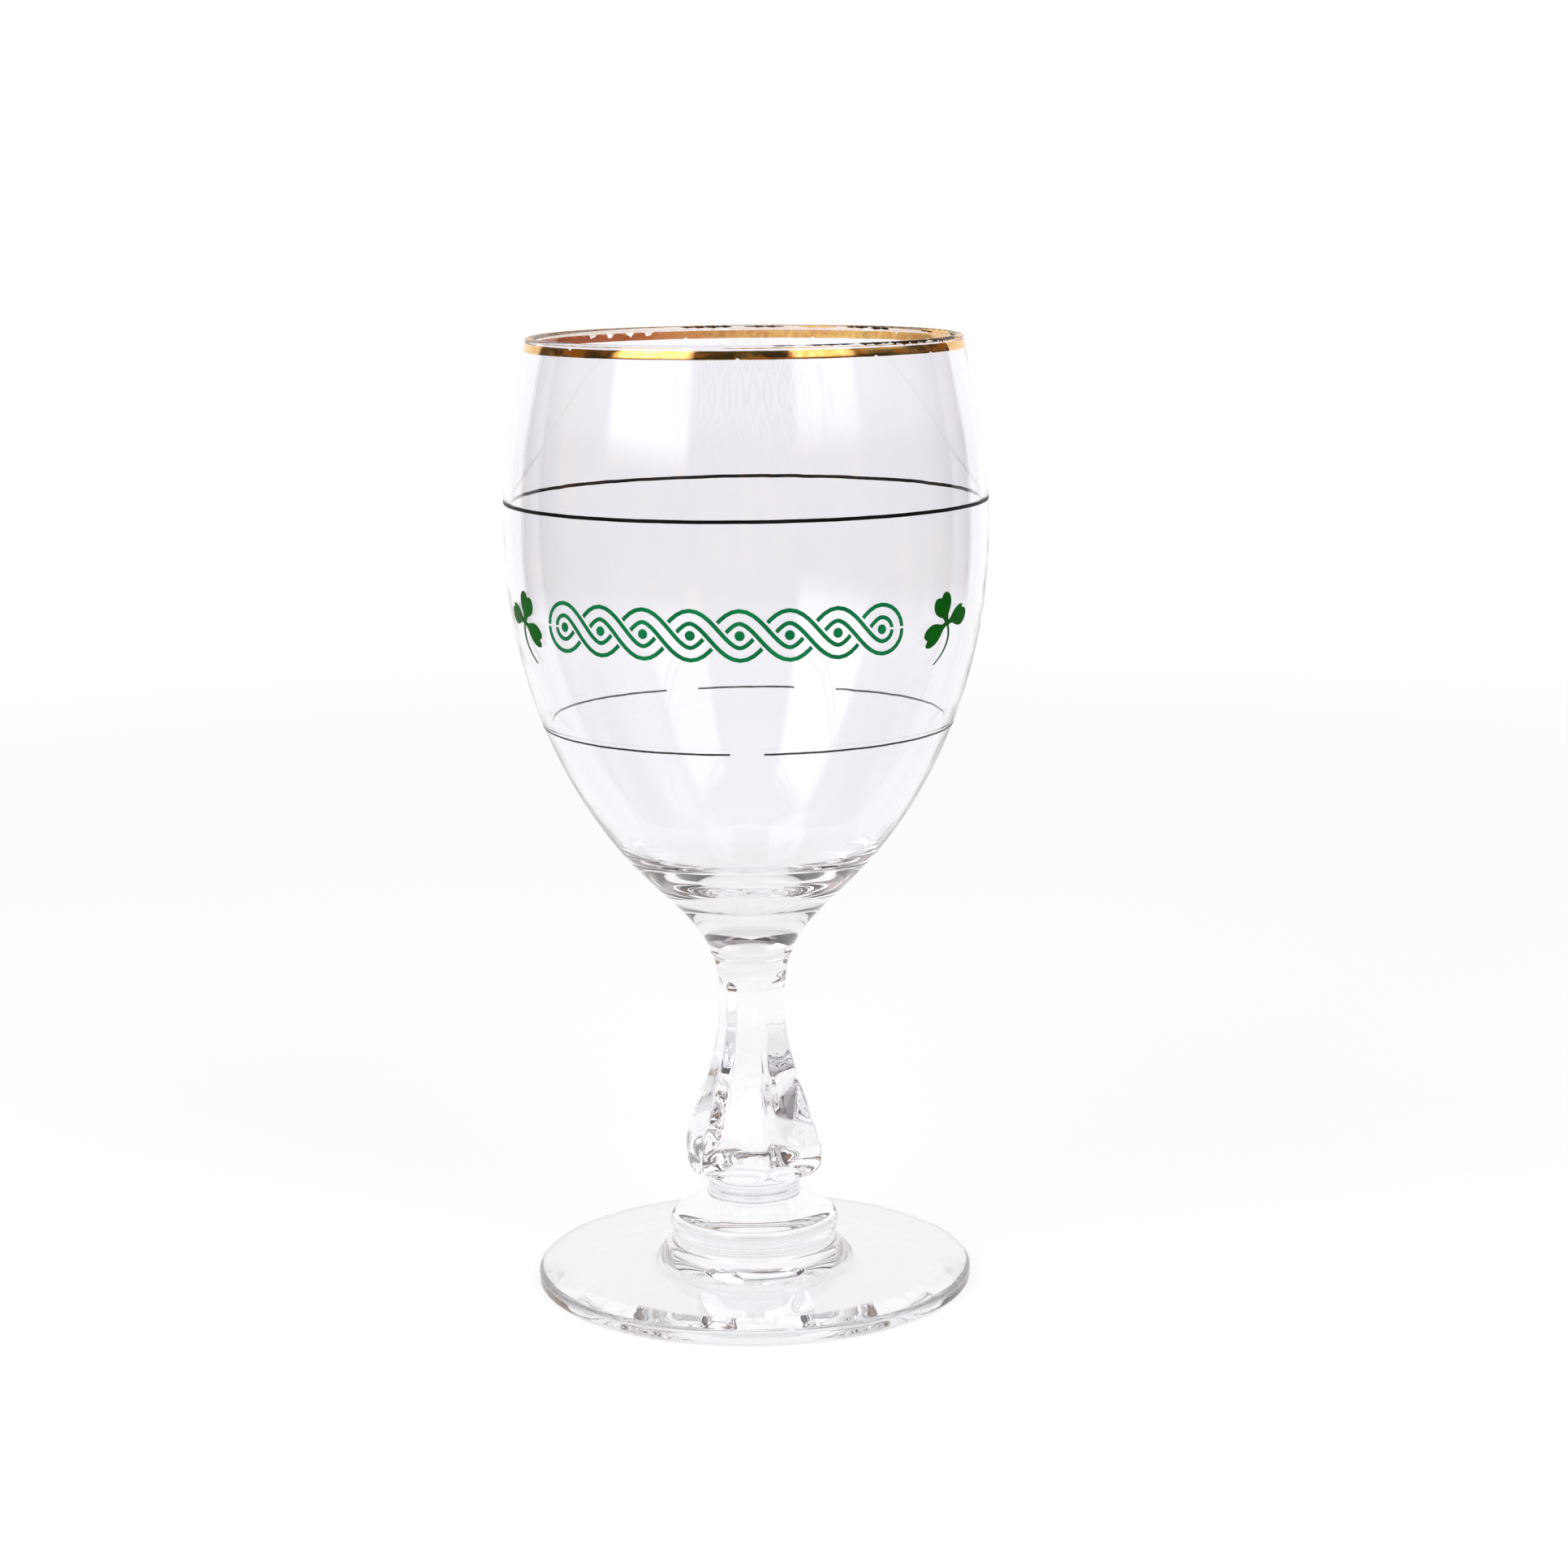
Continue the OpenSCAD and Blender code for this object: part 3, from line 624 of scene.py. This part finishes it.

# These flakes are gold painted nearly black: painted shade for the dark room that they mirror.
flakes_painted_dark = lip_film("worn_lip_flakes_painted_dark", [
    (14.5, 20, -0.34, 0.16), (23, 36, -0.34, 0.24), (37.5, 47, -0.36, 0.48),
    (47.2, 62, -0.40, 0.72), (62.3, 78.5, -0.40, 0.70), (176, 187.5, 0.50, 0.22),
    (191, 206, 0.46, 0.30), (142, 149, 0.62, 0.30), (149.6, 157, 0.52, 0.26),
    (102, 108, 0.80, 0.30), (252, 257, 0.5, 0.10)])
gold_flakes = lip_film("worn_lip_gold", [
    (79.5, 92, -0.28, 0.60), (108, 128, 0.72, 0.60), (160, 172, 0.55, 0.24),
    (281, 297, -0.1, 0.2), (300, 352, -0.72, 0.07), (2, 30, -0.72, 0.08),
    (31, 98, -0.78, 0.10), (98, 180, 0.12, 0.08), (181, 262, 0.1, 0.07)])
lustre = lip_film("lip_lustre", [
    (70, 103.5, 0.30, 1.1), (104, 150, 0.72, 1.0), (150.5, 193, 0.74, 1.15),
    (193.5, 268, 0.70, 0.95), (268.5, 300, 0.25, 1.1), (256, 302, -0.32, 0.8),
    (56, 103, -0.32, 0.8)], LUSTRE_PROUD)

# %% [markdown]
# ## The look of the gold
# Fired gold is a true metal, far thinner than a hair. Where it wears it turns browner and duller in
# clouds, and its underside, seen through the glass, is a richer colour than its face. The underside
# is also painted darker brown towards the left, and a third gold is painted nearly black for some
# flakes on the lip. Both are painted shade, for the dark room that the gold mirrors. So one recipe
# makes three golds. The lustre is too thin to be a mirror: it only tints what is behind it, and a
# low alpha does that.

# %% A recipe for fired gold
GOLD_CLOUDS = ((7, 4.0), (0.9, 3.0), 0.6, (0.42, 0.62))
# Towards the left the gold seen through the glass is painted darker brown: painted shade for the
# dark room it mirrors.
SHADE_TOWARDS_LEFT = (-0.026, 0.004)

def clouds(tree, place, coarse, fine, share, span):
    """Clouds with specks in them, from 0 to 1. A coarse and a fine noise, each a grain in mm and a
    detail, are mixed by a share, and what lies within the span is spread out."""
    mixed = plus(tree, times(tree, noise(tree, place, *coarse), share),
                 times(tree, noise(tree, place, *fine), 1 - share))
    return ramp(tree, mixed, *span)

def fired_gold(name, bright, worn_colour, smooth, rough, shaded_left_colour=None):
    """Metal whose colour goes from bright to worn in clouds, and is rougher where it is worn. It
    may also be painted darker brown towards the left side of the glass, as painted shade for the
    dark room that it mirrors there."""
    material, tree, shader = new_material(name)
    place = place_on_object(tree)
    worn = clouds(tree, place, *GOLD_CLOUDS)
    colour = blend(tree, worn, bright, worn_colour)
    if shaded_left_colour:
        x = parts_of(tree, place)[0]
        colour = blend(tree, ramp(tree, x, *SHADE_TOWARDS_LEFT), shaded_left_colour, colour)
    tree.links.new(colour, shader.inputs["Base Color"])
    tree.links.new(ramp(tree, worn, 0.0, 1.0, smooth, rough), shader.inputs["Roughness"])
    shader.inputs["Metallic"].default_value = 1
    bumpy(tree, shader, noise(tree, place, 0.5, 3.0), 0.25, 0.01)
    return material

# %% Materials for the gold
bright_gold = fired_gold("bright_gold", (0.96, 0.60, 0.21), (0.82, 0.42, 0.10), 0.04, 0.10)
# Its darker brown left side is painted shade for the dark room that it mirrors.
gold_underside = fired_gold("gold_seen_through_glass", (0.98, 0.61, 0.19), (0.86, 0.40, 0.09),
                            0.05, 0.14, shaded_left_colour=(0.50, 0.11, 0.015))
# A gold painted nearly black: painted shade for the dark room that the lip flakes mirror.
gold_painted_dark = fired_gold("gold_painted_dark", (0.10, 0.045, 0.012), (0.02, 0.01, 0.006), 0.2, 0.4)
thin_lustre, tree, shader = new_material("thin_gold_lustre")
lustre_cloud = ramp(tree, noise(tree, place_on_object(tree), 3, 3.0), 0.35, 0.65)
lustre_colour = blend(tree, lustre_cloud, (0.98, 0.70, 0.52), (0.95, 0.56, 0.26))
tree.links.new(lustre_colour, shader.inputs["Base Color"])
shader.inputs["Alpha"].default_value = 0.22
shader.inputs["Roughness"].default_value = 0.3
for piece, looks in (
        (gold_band, (bright_gold, gold_underside)), (gold_flakes, (bright_gold, gold_underside)),
        (flakes_painted_dark, (gold_painted_dark, gold_underside)), (lustre, (thin_lustre, thin_lustre))):
    for look in looks:
        piece.data.materials.append(look)
    print(piece.name, "wears", [look.name for look in looks])

# %% [markdown]
# ## Hair lines
# Two black lines mark how far to fill. They are pulled with a fine brush on the turning glass, so
# they are films of the same kind. The upper one is a full stroke. The lower one is finer and has
# been worn through in three places, so it is three arcs.

# %% Two hair lines
UPPER_Z, UPPER_W = WELD_Z + 71.45, 0.55
LOWER_Z, LOWER_W = WELD_Z + 36.65, 0.30
LOWER_ARCS = [(11.5, 160), (173.5, 203), (213, 362.5)]
LINE_PROUD = 0.05

def stroke(first, last, height, width, unevenness):
    """Strip of a given width about a height, with both its edges a little uneven."""
    return (first, last,
            lambda t: walk_at(height - width / 2) + ragged(t, unevenness),
            lambda t: walk_at(height + width / 2) + ragged(t, unevenness, 3.0))

upper_stroke = film("upper_hair_line", [stroke(0, 360, UPPER_Z, UPPER_W, 0.02)], LINE_PROUD)
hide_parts("upper_line")
lower_strokes = [stroke(*arc, LOWER_Z, LOWER_W, 0.03) for arc in LOWER_ARCS]
lower_stroke = film("lower_hair_line", lower_strokes, LINE_PROUD)
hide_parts("lower_line")

# %% [markdown]
# ## Green prints
# The plait and the two shamrocks are transfers, with crisp outlines that only the CAD model holds.
# A modifier could wrap them onto the bowl, but it would shift their edges. So their meshes are
# copied, their doubled points merged, and every point keeps its turn and height. Only its distance
# from the axis is set anew, so that the film lies on the smooth skin, not on the faceted one.

# %% Points and triangles of a print
CAD_STEPS, MERGE_DIGITS, NEAR_GLASS = 18, 3, 0.08
cad_body = bend(TURN_AT, TURN_LEAN, (BELLY_R, BELLY_Z), UP, BODY_PULLS, CAD_STEPS)

def merged(mesh):
    """Points in mm and triangles of a mesh, its doubled points merged."""
    co = np.empty(len(mesh.vertices) * 3)
    mesh.vertices.foreach_get("co", co)
    co = co.reshape(-1, 3) / MM
    corners = np.empty(len(mesh.loops), np.int32)
    mesh.loops.foreach_get("vertex_index", corners)
    _, first, same = np.unique(np.round(co, MERGE_DIGITS), axis=0, return_index=True,
                               return_inverse=True)
    corners = same.ravel()[corners].reshape(-1, 3)
    return co[first], corners[[len(set(c)) == 3 for c in corners.tolist()]]

# %% Prints laid on the smooth bowl
def laid_print(name, node):
    """Copy of a print: points near the glass go to its skin + SEAT, the others to its skin +
    LAYER."""
    co, corners = merged(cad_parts[node].data)
    turns, height = np.arctan2(co[:, 0], -co[:, 1]), co[:, 2]
    proud = np.hypot(co[:, 0], co[:, 1]) - np.interp(height, cad_body[:, 1], cad_body[:, 0])
    skin_r = np.interp(height, bowl_outside[:, 1], bowl_outside[:, 0])
    r = skin_r + np.where(proud < NEAR_GLASS, SEAT, LAYER)
    laid = np.stack([r * np.sin(turns), -r * np.cos(turns), height], -1)
    piece = mesh_piece(name, laid, [corners])
    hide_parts(node)
    return piece

prints = [laid_print(name, node) for name, node in (
    ("plait_enamel", "plait_print"), ("shamrock_enamel_left", "shamrock_left"),
    ("shamrock_enamel_right", "shamrock_right"))]

# %% [markdown]
# ## The look of the enamels
# Enamel is ground glass with a pigment, melted onto the bowl. It is never quite even: the colour
# thins out in clouds and fine specks, and its skin is a little pitted. The real prints hardly
# shine, so their gloss is set low. The lower line is the most worn, and so the greyest.

# %% A recipe for enamel
ENAMEL_CLOUDS = ((4, 3.0), (0.25, 2.0), 0.65, (0.40, 0.70))
ROUGHER = 0.12

def enamel(name, thick, thin, roughness, gloss):
    """Fired enamel: colour from thick to thin in clouds, and rougher by ROUGHER where it is
    thin."""
    material, tree, shader = new_material(name)
    place = place_on_object(tree)
    cloud = clouds(tree, place, *ENAMEL_CLOUDS)
    tree.links.new(blend(tree, cloud, thick, thin), shader.inputs["Base Color"])
    rough = ramp(tree, cloud, 0.0, 1.0, roughness, roughness + ROUGHER)
    tree.links.new(rough, shader.inputs["Roughness"])
    shader.inputs["Specular IOR Level"].default_value = gloss
    bumpy(tree, shader, noise(tree, place, 0.3, 2.0), 0.2, 0.01)
    return material

# %% Materials for the enamels
leaf_green = enamel("leaf_green_enamel", (0.001, 0.07, 0.002), (0.001, 0.10, 0.004), 0.3, 0.02)
plait_green = enamel("plait_green_enamel", (0.001, 0.12, 0.035), (0.004, 0.18, 0.058), 0.3, 0.06)
black = enamel("black_enamel", (0.001, 0.001, 0.0015), (0.004, 0.004, 0.005), 0.4, 0.15)
worn_black = enamel("worn_black_enamel", (0.004, 0.005, 0.005), (0.045, 0.05, 0.05), 0.4, 0.3)
for piece, looks in zip((*prints, upper_stroke, lower_stroke), (
        (plait_green,), (leaf_green,), (leaf_green,), (black, black), (worn_black, worn_black))):
    for look in looks:
        piece.data.materials.append(look)
    print(piece.name, "wears", [look.name for look in looks])

# %% [markdown]
# ## The white background
# A glass shows mostly what stands behind it, so the background matters as much as the glass. The
# world has two strengths. Rays from the camera, from gloss and through glass see plain white. All
# others, which light the object, find a calmer light, so the object isn't washed out.

# %% World
WORLD_LIGHT = 0.45

def background_rays(tree):
    """1 for rays from the camera, from gloss and through glass, which all show the background."""
    path = tree.nodes.new("ShaderNodeLightPath")
    total = path.outputs["Is Camera Ray"]
    for ray in ("Is Glossy Ray", "Is Transmission Ray"):
        total = maths(tree, "MAXIMUM", total, path.outputs[ray])
    return total

world = bpy.data.worlds.new("studio")
scene.world = world
world.use_nodes = True
tree = world.node_tree
tree.nodes.clear()
light, shown = (tree.nodes.new("ShaderNodeBackground") for _ in range(2))
for node, strength in ((light, WORLD_LIGHT), (shown, 1.0)):
    node.inputs["Color"].default_value = (1, 1, 1, 1)
    node.inputs["Strength"].default_value = strength
choice = tree.nodes.new("ShaderNodeMixShader")
out = tree.nodes.new("ShaderNodeOutputWorld")
tree.links.new(background_rays(tree), choice.inputs["Fac"])
tree.links.new(light.outputs[0], choice.inputs[1])
tree.links.new(shown.outputs[0], choice.inputs[2])
tree.links.new(choice.outputs[0], out.inputs["Surface"])
print("world: light %.2f, background 1" % WORLD_LIGHT)

# %% [markdown]
# ## The floor
# The glass stands on a pale table that fades into the white. The floor glows and is lit too: the
# glow makes it white, and the lit share keeps the soft shadow of the glass. It lies a hair under
# the foot, as a real foot rests on a film of air. If the two faces lay in one plane, half the rays
# would miss the floor.

# %% Pale floor
FLOOR_HALF, FLOOR_GAP = 800, 0.03
floor_mesh = bpy.data.meshes.new("floor")
floor_corners = [(x * FLOOR_HALF * MM, y * FLOOR_HALF * MM, -FLOOR_GAP * MM)
                 for x, y in ((-1, -1), (1, -1), (1, 1), (-1, 1))]
floor_mesh.from_pydata(floor_corners, [], [(0, 1, 2, 3)])
floor = bpy.data.objects.new("floor", floor_mesh)
scene.collection.objects.link(floor)
print("floor: %.1f m wide" % (2 * FLOOR_HALF * MM))

# %% Material for the floor
FLOOR_GREY, FLOOR_GLOW = 0.20, 0.80
FADE_FROM, FADE_TO, FADE_MIDDLE = 0.3, 0.6, (-0.015, 0.12, 0)
floor_look, tree, shader = new_material("floor")
shader.inputs["Base Color"].default_value = (FLOOR_GREY, FLOOR_GREY, FLOOR_GREY, 1)
shader.inputs["Roughness"].default_value = 1
shader.inputs["Specular IOR Level"].default_value = 0
shader.inputs["Emission Color"].default_value = (1, 1, 1, 1)
shader.inputs["Emission Strength"].default_value = FLOOR_GLOW
from_middle, away = (tree.nodes.new("ShaderNodeVectorMath") for _ in range(2))
from_middle.operation, away.operation = "SUBTRACT", "LENGTH"
from_middle.inputs[1].default_value = FADE_MIDDLE
tree.links.new(place_on_object(tree), from_middle.inputs[0])
tree.links.new(from_middle.outputs["Vector"], away.inputs[0])
shown_share = ramp(tree, away.outputs["Value"], FADE_FROM, FADE_TO, 1.0, 0.0)
tree.links.new(shown_share, shader.inputs["Alpha"])
floor.data.materials.append(floor_look)
print("the floor fades from %.1f to %.1f m" % (FADE_FROM, FADE_TO))

# %% [markdown]
# ## Lamps
# Two soft boxes stand to the left and right of the camera. They light the prints, the gold and the
# floor. What the glass mirrors of them is drawn in the room below, where its edges can be made as
# soft as on the real glass, so the lamps themselves are hidden from gloss and from rays through
# glass.

# %% Two soft boxes
FACING, AIM_H = 7.5, 0.1

def around(azimuth, elevation):
    """Direction from an azimuth, counted from the front towards +X, and an elevation, both in
    degrees."""
    a, e = math.radians(azimuth), math.radians(elevation)
    return np.array([math.sin(a) * math.cos(e), -math.cos(a) * math.cos(e), math.sin(e)])

def placed(axes, place):
    """Matrix from three axes as columns and a place."""
    return Matrix(np.vstack([np.column_stack([axes, place]), [0, 0, 0, 1]]).tolist())

def soft_box(name, azimuth, elevation, width, height, power):
    """A rectangle of light, a metre away, that faces the middle of the glass."""
    data = bpy.data.lights.new(name, "AREA")
    data.shape = "RECTANGLE"
    data.size, data.size_y, data.energy = width, height, power
    box = bpy.data.objects.new(name, data)
    scene.collection.objects.link(box)
    back, right = around(azimuth, elevation), around(azimuth + 90, 0)
    axes = np.column_stack([right, np.cross(back, right), back])
    box.matrix_world = placed(axes, back + [0, 0, AIM_H])
    box.visible_glossy = box.visible_transmission = False

soft_box("soft_box_left", FACING - 49, 33, 0.75, 0.72, 8)
soft_box("soft_box_right", FACING + 41, 36, 0.55, 0.66, 6)

# %% [markdown]
# ## The room that the glass mirrors
# Clear glass is drawn by its dark lines. They are the dark room on the camera's side, seen in the
# skins and through the thick places. So a part of a dome stands round the front and the sides,
# open at the back, where the white background is. An image of a room would do it too, but a few
# ramps over azimuth and elevation can be moved until each mirrored edge sits where it should. The
# room is dark, with two soft-edged windows, a brighter ceiling over the front and a pale wall at
# the right.

# %% Windows, ceiling and wall
ROOM_R, ROOM_HALF_TURN = 1.5, 131
DARK, CEILING, WINDOW_LIGHT, PALE_WALL = 0.045, 0.34, 2.4, 0.40
LEFT_WINDOW, LEFT_SILL = (FACING - 70, FACING - 28), 15.5
RIGHT_WINDOW, RIGHT_SILL, RIGHT_SHARE = (FACING + 25, FACING + 58), 19, 0.75
SIDE_BLUR, SILL_BLUR, WINDOW_TOP = 3, 5, (52.0, 60.0)
WALL_SIDES, WALL_SILL, WALL_BLUR = (69, 102), 22, 4
CEILING_FROM, CEILING_LEFT, CEILING_RIGHT = (32.0, 54.0), (-72.0, -52.0), (92.0, 110.0)

room_look, tree, shader = new_material("dark_room")
place = place_on_object(tree)
x, y, z = parts_of(tree, place)
azimuth = maths(tree, "DEGREES", maths(tree, "ARCTAN2", x, times(tree, y, -1.0)))
elevation = maths(tree, "DEGREES", maths(tree, "ARCSINE", maths(tree, "DIVIDE", z, ROOM_R)))

def window(sides, side_blur, sill, sill_blur):
    """1 inside a soft-edged window between two azimuths and above a sill, all in degrees."""
    left = ramp(tree, azimuth, sides[0] - side_blur, sides[0] + side_blur)
    right = ramp(tree, azimuth, sides[1] - side_blur, sides[1] + side_blur, 1.0, 0.0)
    above = ramp(tree, elevation, sill - sill_blur, sill + sill_blur)
    below_top = ramp(tree, elevation, *WINDOW_TOP, 1.0, 0.0)
    return times(tree, times(tree, left, right), times(tree, above, below_top))

windows = plus(tree, window(LEFT_WINDOW, SIDE_BLUR, LEFT_SILL, SILL_BLUR),
               times(tree, window(RIGHT_WINDOW, SIDE_BLUR, RIGHT_SILL, SILL_BLUR), RIGHT_SHARE))
over_front = times(tree, ramp(tree, azimuth, *CEILING_LEFT),
                   ramp(tree, azimuth, *CEILING_RIGHT, 1.0, 0.0))
ceiling = times(tree, over_front, ramp(tree, elevation, *CEILING_FROM, 0.0, CEILING))
pale_wall = times(tree, window(WALL_SIDES, WALL_BLUR, WALL_SILL, WALL_BLUR), PALE_WALL)
walls = plus(tree, DARK, plus(tree, ceiling, pale_wall))
print("windows from", LEFT_WINDOW, "and", RIGHT_WINDOW, "degrees")

# %% [markdown]
# ## Clutter in the room
# Gold that mirrors an even room looks like yellow paint. Real rooms are full of things low down, so
# pale clutter and brown blots, as furniture would give, are drawn there with noise. Rays that come
# straight through the glass see plain white there instead, so that the bowl is clear from every
# side.

# %% Light of the room
CLUTTER, CLUTTER_BELOW, CLUTTER_MM, CLUTTER_SPAN = 0.06, (26.0, 40.0), 420, (0.46, 0.62)
WOOD, WOOD_BELOW, WOOD_MM, WOOD_SPAN = 0.20, (22.0, 34.0), 260, (0.46, 0.60)
ROOM_COLOUR, WOOD_COLOUR, WHITE = (1.0, 0.95, 1.0), (1.0, 0.52, 0.22), (1, 1, 1)
WINDOW_EDGE, OPEN_BELOW = (0.0, 0.6), (9.0, 13.0)

clutter = times(tree, ramp(tree, elevation, *CLUTTER_BELOW, CLUTTER, 0.0),
                ramp(tree, noise(tree, place, CLUTTER_MM, 3.0), *CLUTTER_SPAN))
beside_windows = times(tree, ramp(tree, elevation, *WOOD_BELOW, 1.0, 0.0),
                       ramp(tree, windows, *WINDOW_EDGE, 1.0, 0.0))
blots = times(tree, ramp(tree, noise(tree, place, WOOD_MM), *WOOD_SPAN), beside_windows)
things = plus(tree, clutter, times(tree, blots, WOOD))
strength = plus(tree, plus(tree, walls, things), times(tree, windows, WINDOW_LIGHT))
path = tree.nodes.new("ShaderNodeLightPath")
straight_through = times(tree, path.outputs["Is Transmission Ray"],
                         maths(tree, "LESS_THAN", path.outputs["Glossy Depth"], 0.5))
open_low = times(tree, ramp(tree, elevation, *OPEN_BELOW, 1.0, 0.0), straight_through)
closed_share = maths(tree, "SUBTRACT", 1.0, open_low)
strength = plus(tree, open_low, times(tree, strength, closed_share))
tree.links.new(strength, shader.inputs["Emission Strength"])
room_colour = blend(tree, blots, ROOM_COLOUR, WOOD_COLOUR)
tree.links.new(blend(tree, open_low, room_colour, WHITE), shader.inputs["Emission Color"])
shader.inputs["Base Color"].default_value = (0, 0, 0, 1)
shader.inputs["Roughness"].default_value = 1
shader.inputs["Specular IOR Level"].default_value = 0
print("room: %d nodes" % len(tree.nodes))

# %% Dome of the room
LOWEST, HIGHEST, DOME_COLUMNS, DOME_ROWS = -40, 89.9, 120, 60
a = np.linspace(FACING - ROOM_HALF_TURN, FACING + ROOM_HALF_TURN, DOME_COLUMNS)
a, e = np.radians(a)[None, :], np.radians(np.linspace(LOWEST, HIGHEST, DOME_ROWS))[:, None]
dome = ROOM_R * np.stack([np.cos(e) * np.sin(a), -np.cos(e) * np.cos(a), np.sin(e) + 0 * a], -1)
index = np.arange(DOME_ROWS * DOME_COLUMNS).reshape(DOME_ROWS, DOME_COLUMNS)
cells = np.stack([index[:-1, :-1], index[:-1, 1:], index[1:, 1:], index[1:, :-1]], -1)
room_mesh = bpy.data.meshes.new("dark_room")
room_mesh.from_pydata(dome.reshape(-1, 3).tolist(), [], cells.reshape(-1, 4).tolist())
room_mesh.materials.append(room_look)
room = bpy.data.objects.new("dark_room", room_mesh)
scene.collection.objects.link(room)
room.visible_camera = room.visible_diffuse = room.visible_shadow = False
print("dome: %d faces" % len(room_mesh.polygons))

# %% [markdown]
# ## The camera
# It stands where the photograph was taken from. Its numbers come from a fit: the two hair lines,
# the lip and the foot are circles, and the shapes of their ellipses in the picture tell how far,
# how high and how tilted the camera was. The glass was turned a little, so camera, lamps and room
# are all turned about the axis by the same angle instead. Light passes many skins in thick glass,
# so it may bounce 32 times.

# %% Camera
FOCAL, FRAME_PX, SENSOR = 4073.0, 1932, 36.0
DISTANCE, HEIGHT = 510.0, 173.9
PITCH, YAW, ROLL = 10.43, 0.61, -0.558
NEAR, FAR, BOUNCES = 0.01, 20, 32
pitch, yaw, roll = (math.radians(v) for v in (PITCH, YAW, ROLL))
forward = np.array([math.sin(yaw) * math.cos(pitch), math.cos(yaw) * math.cos(pitch),
                    -math.sin(pitch)])
right = np.array([math.cos(yaw), -math.sin(yaw), 0])
up = np.cross(right, forward)
right, up = (math.cos(roll) * right + math.sin(roll) * up,
             math.cos(roll) * up - math.sin(roll) * right)
camera_data = bpy.data.cameras.new("camera")
camera_data.sensor_width = SENSOR
camera_data.lens = FOCAL / FRAME_PX * SENSOR
camera_data.clip_start, camera_data.clip_end = NEAR, FAR
camera = bpy.data.objects.new("camera", camera_data)
scene.collection.objects.link(camera)
turned = np.column_stack([around(FACING + 90, 0), -around(FACING, 0), [0, 0, 1]])
camera.matrix_world = placed(turned @ np.column_stack([right, up, -forward]),
                             turned @ np.array([0, -DISTANCE, HEIGHT]) * MM)
scene.camera = camera
scene.view_settings.view_transform = "Standard"
for bounces in ("max_bounces", "transmission_bounces", "glossy_bounces"):
    setattr(scene.cycles, bounces, BOUNCES)
print("lens %.1f mm, camera %.0f mm away" % (camera_data.lens, DISTANCE))
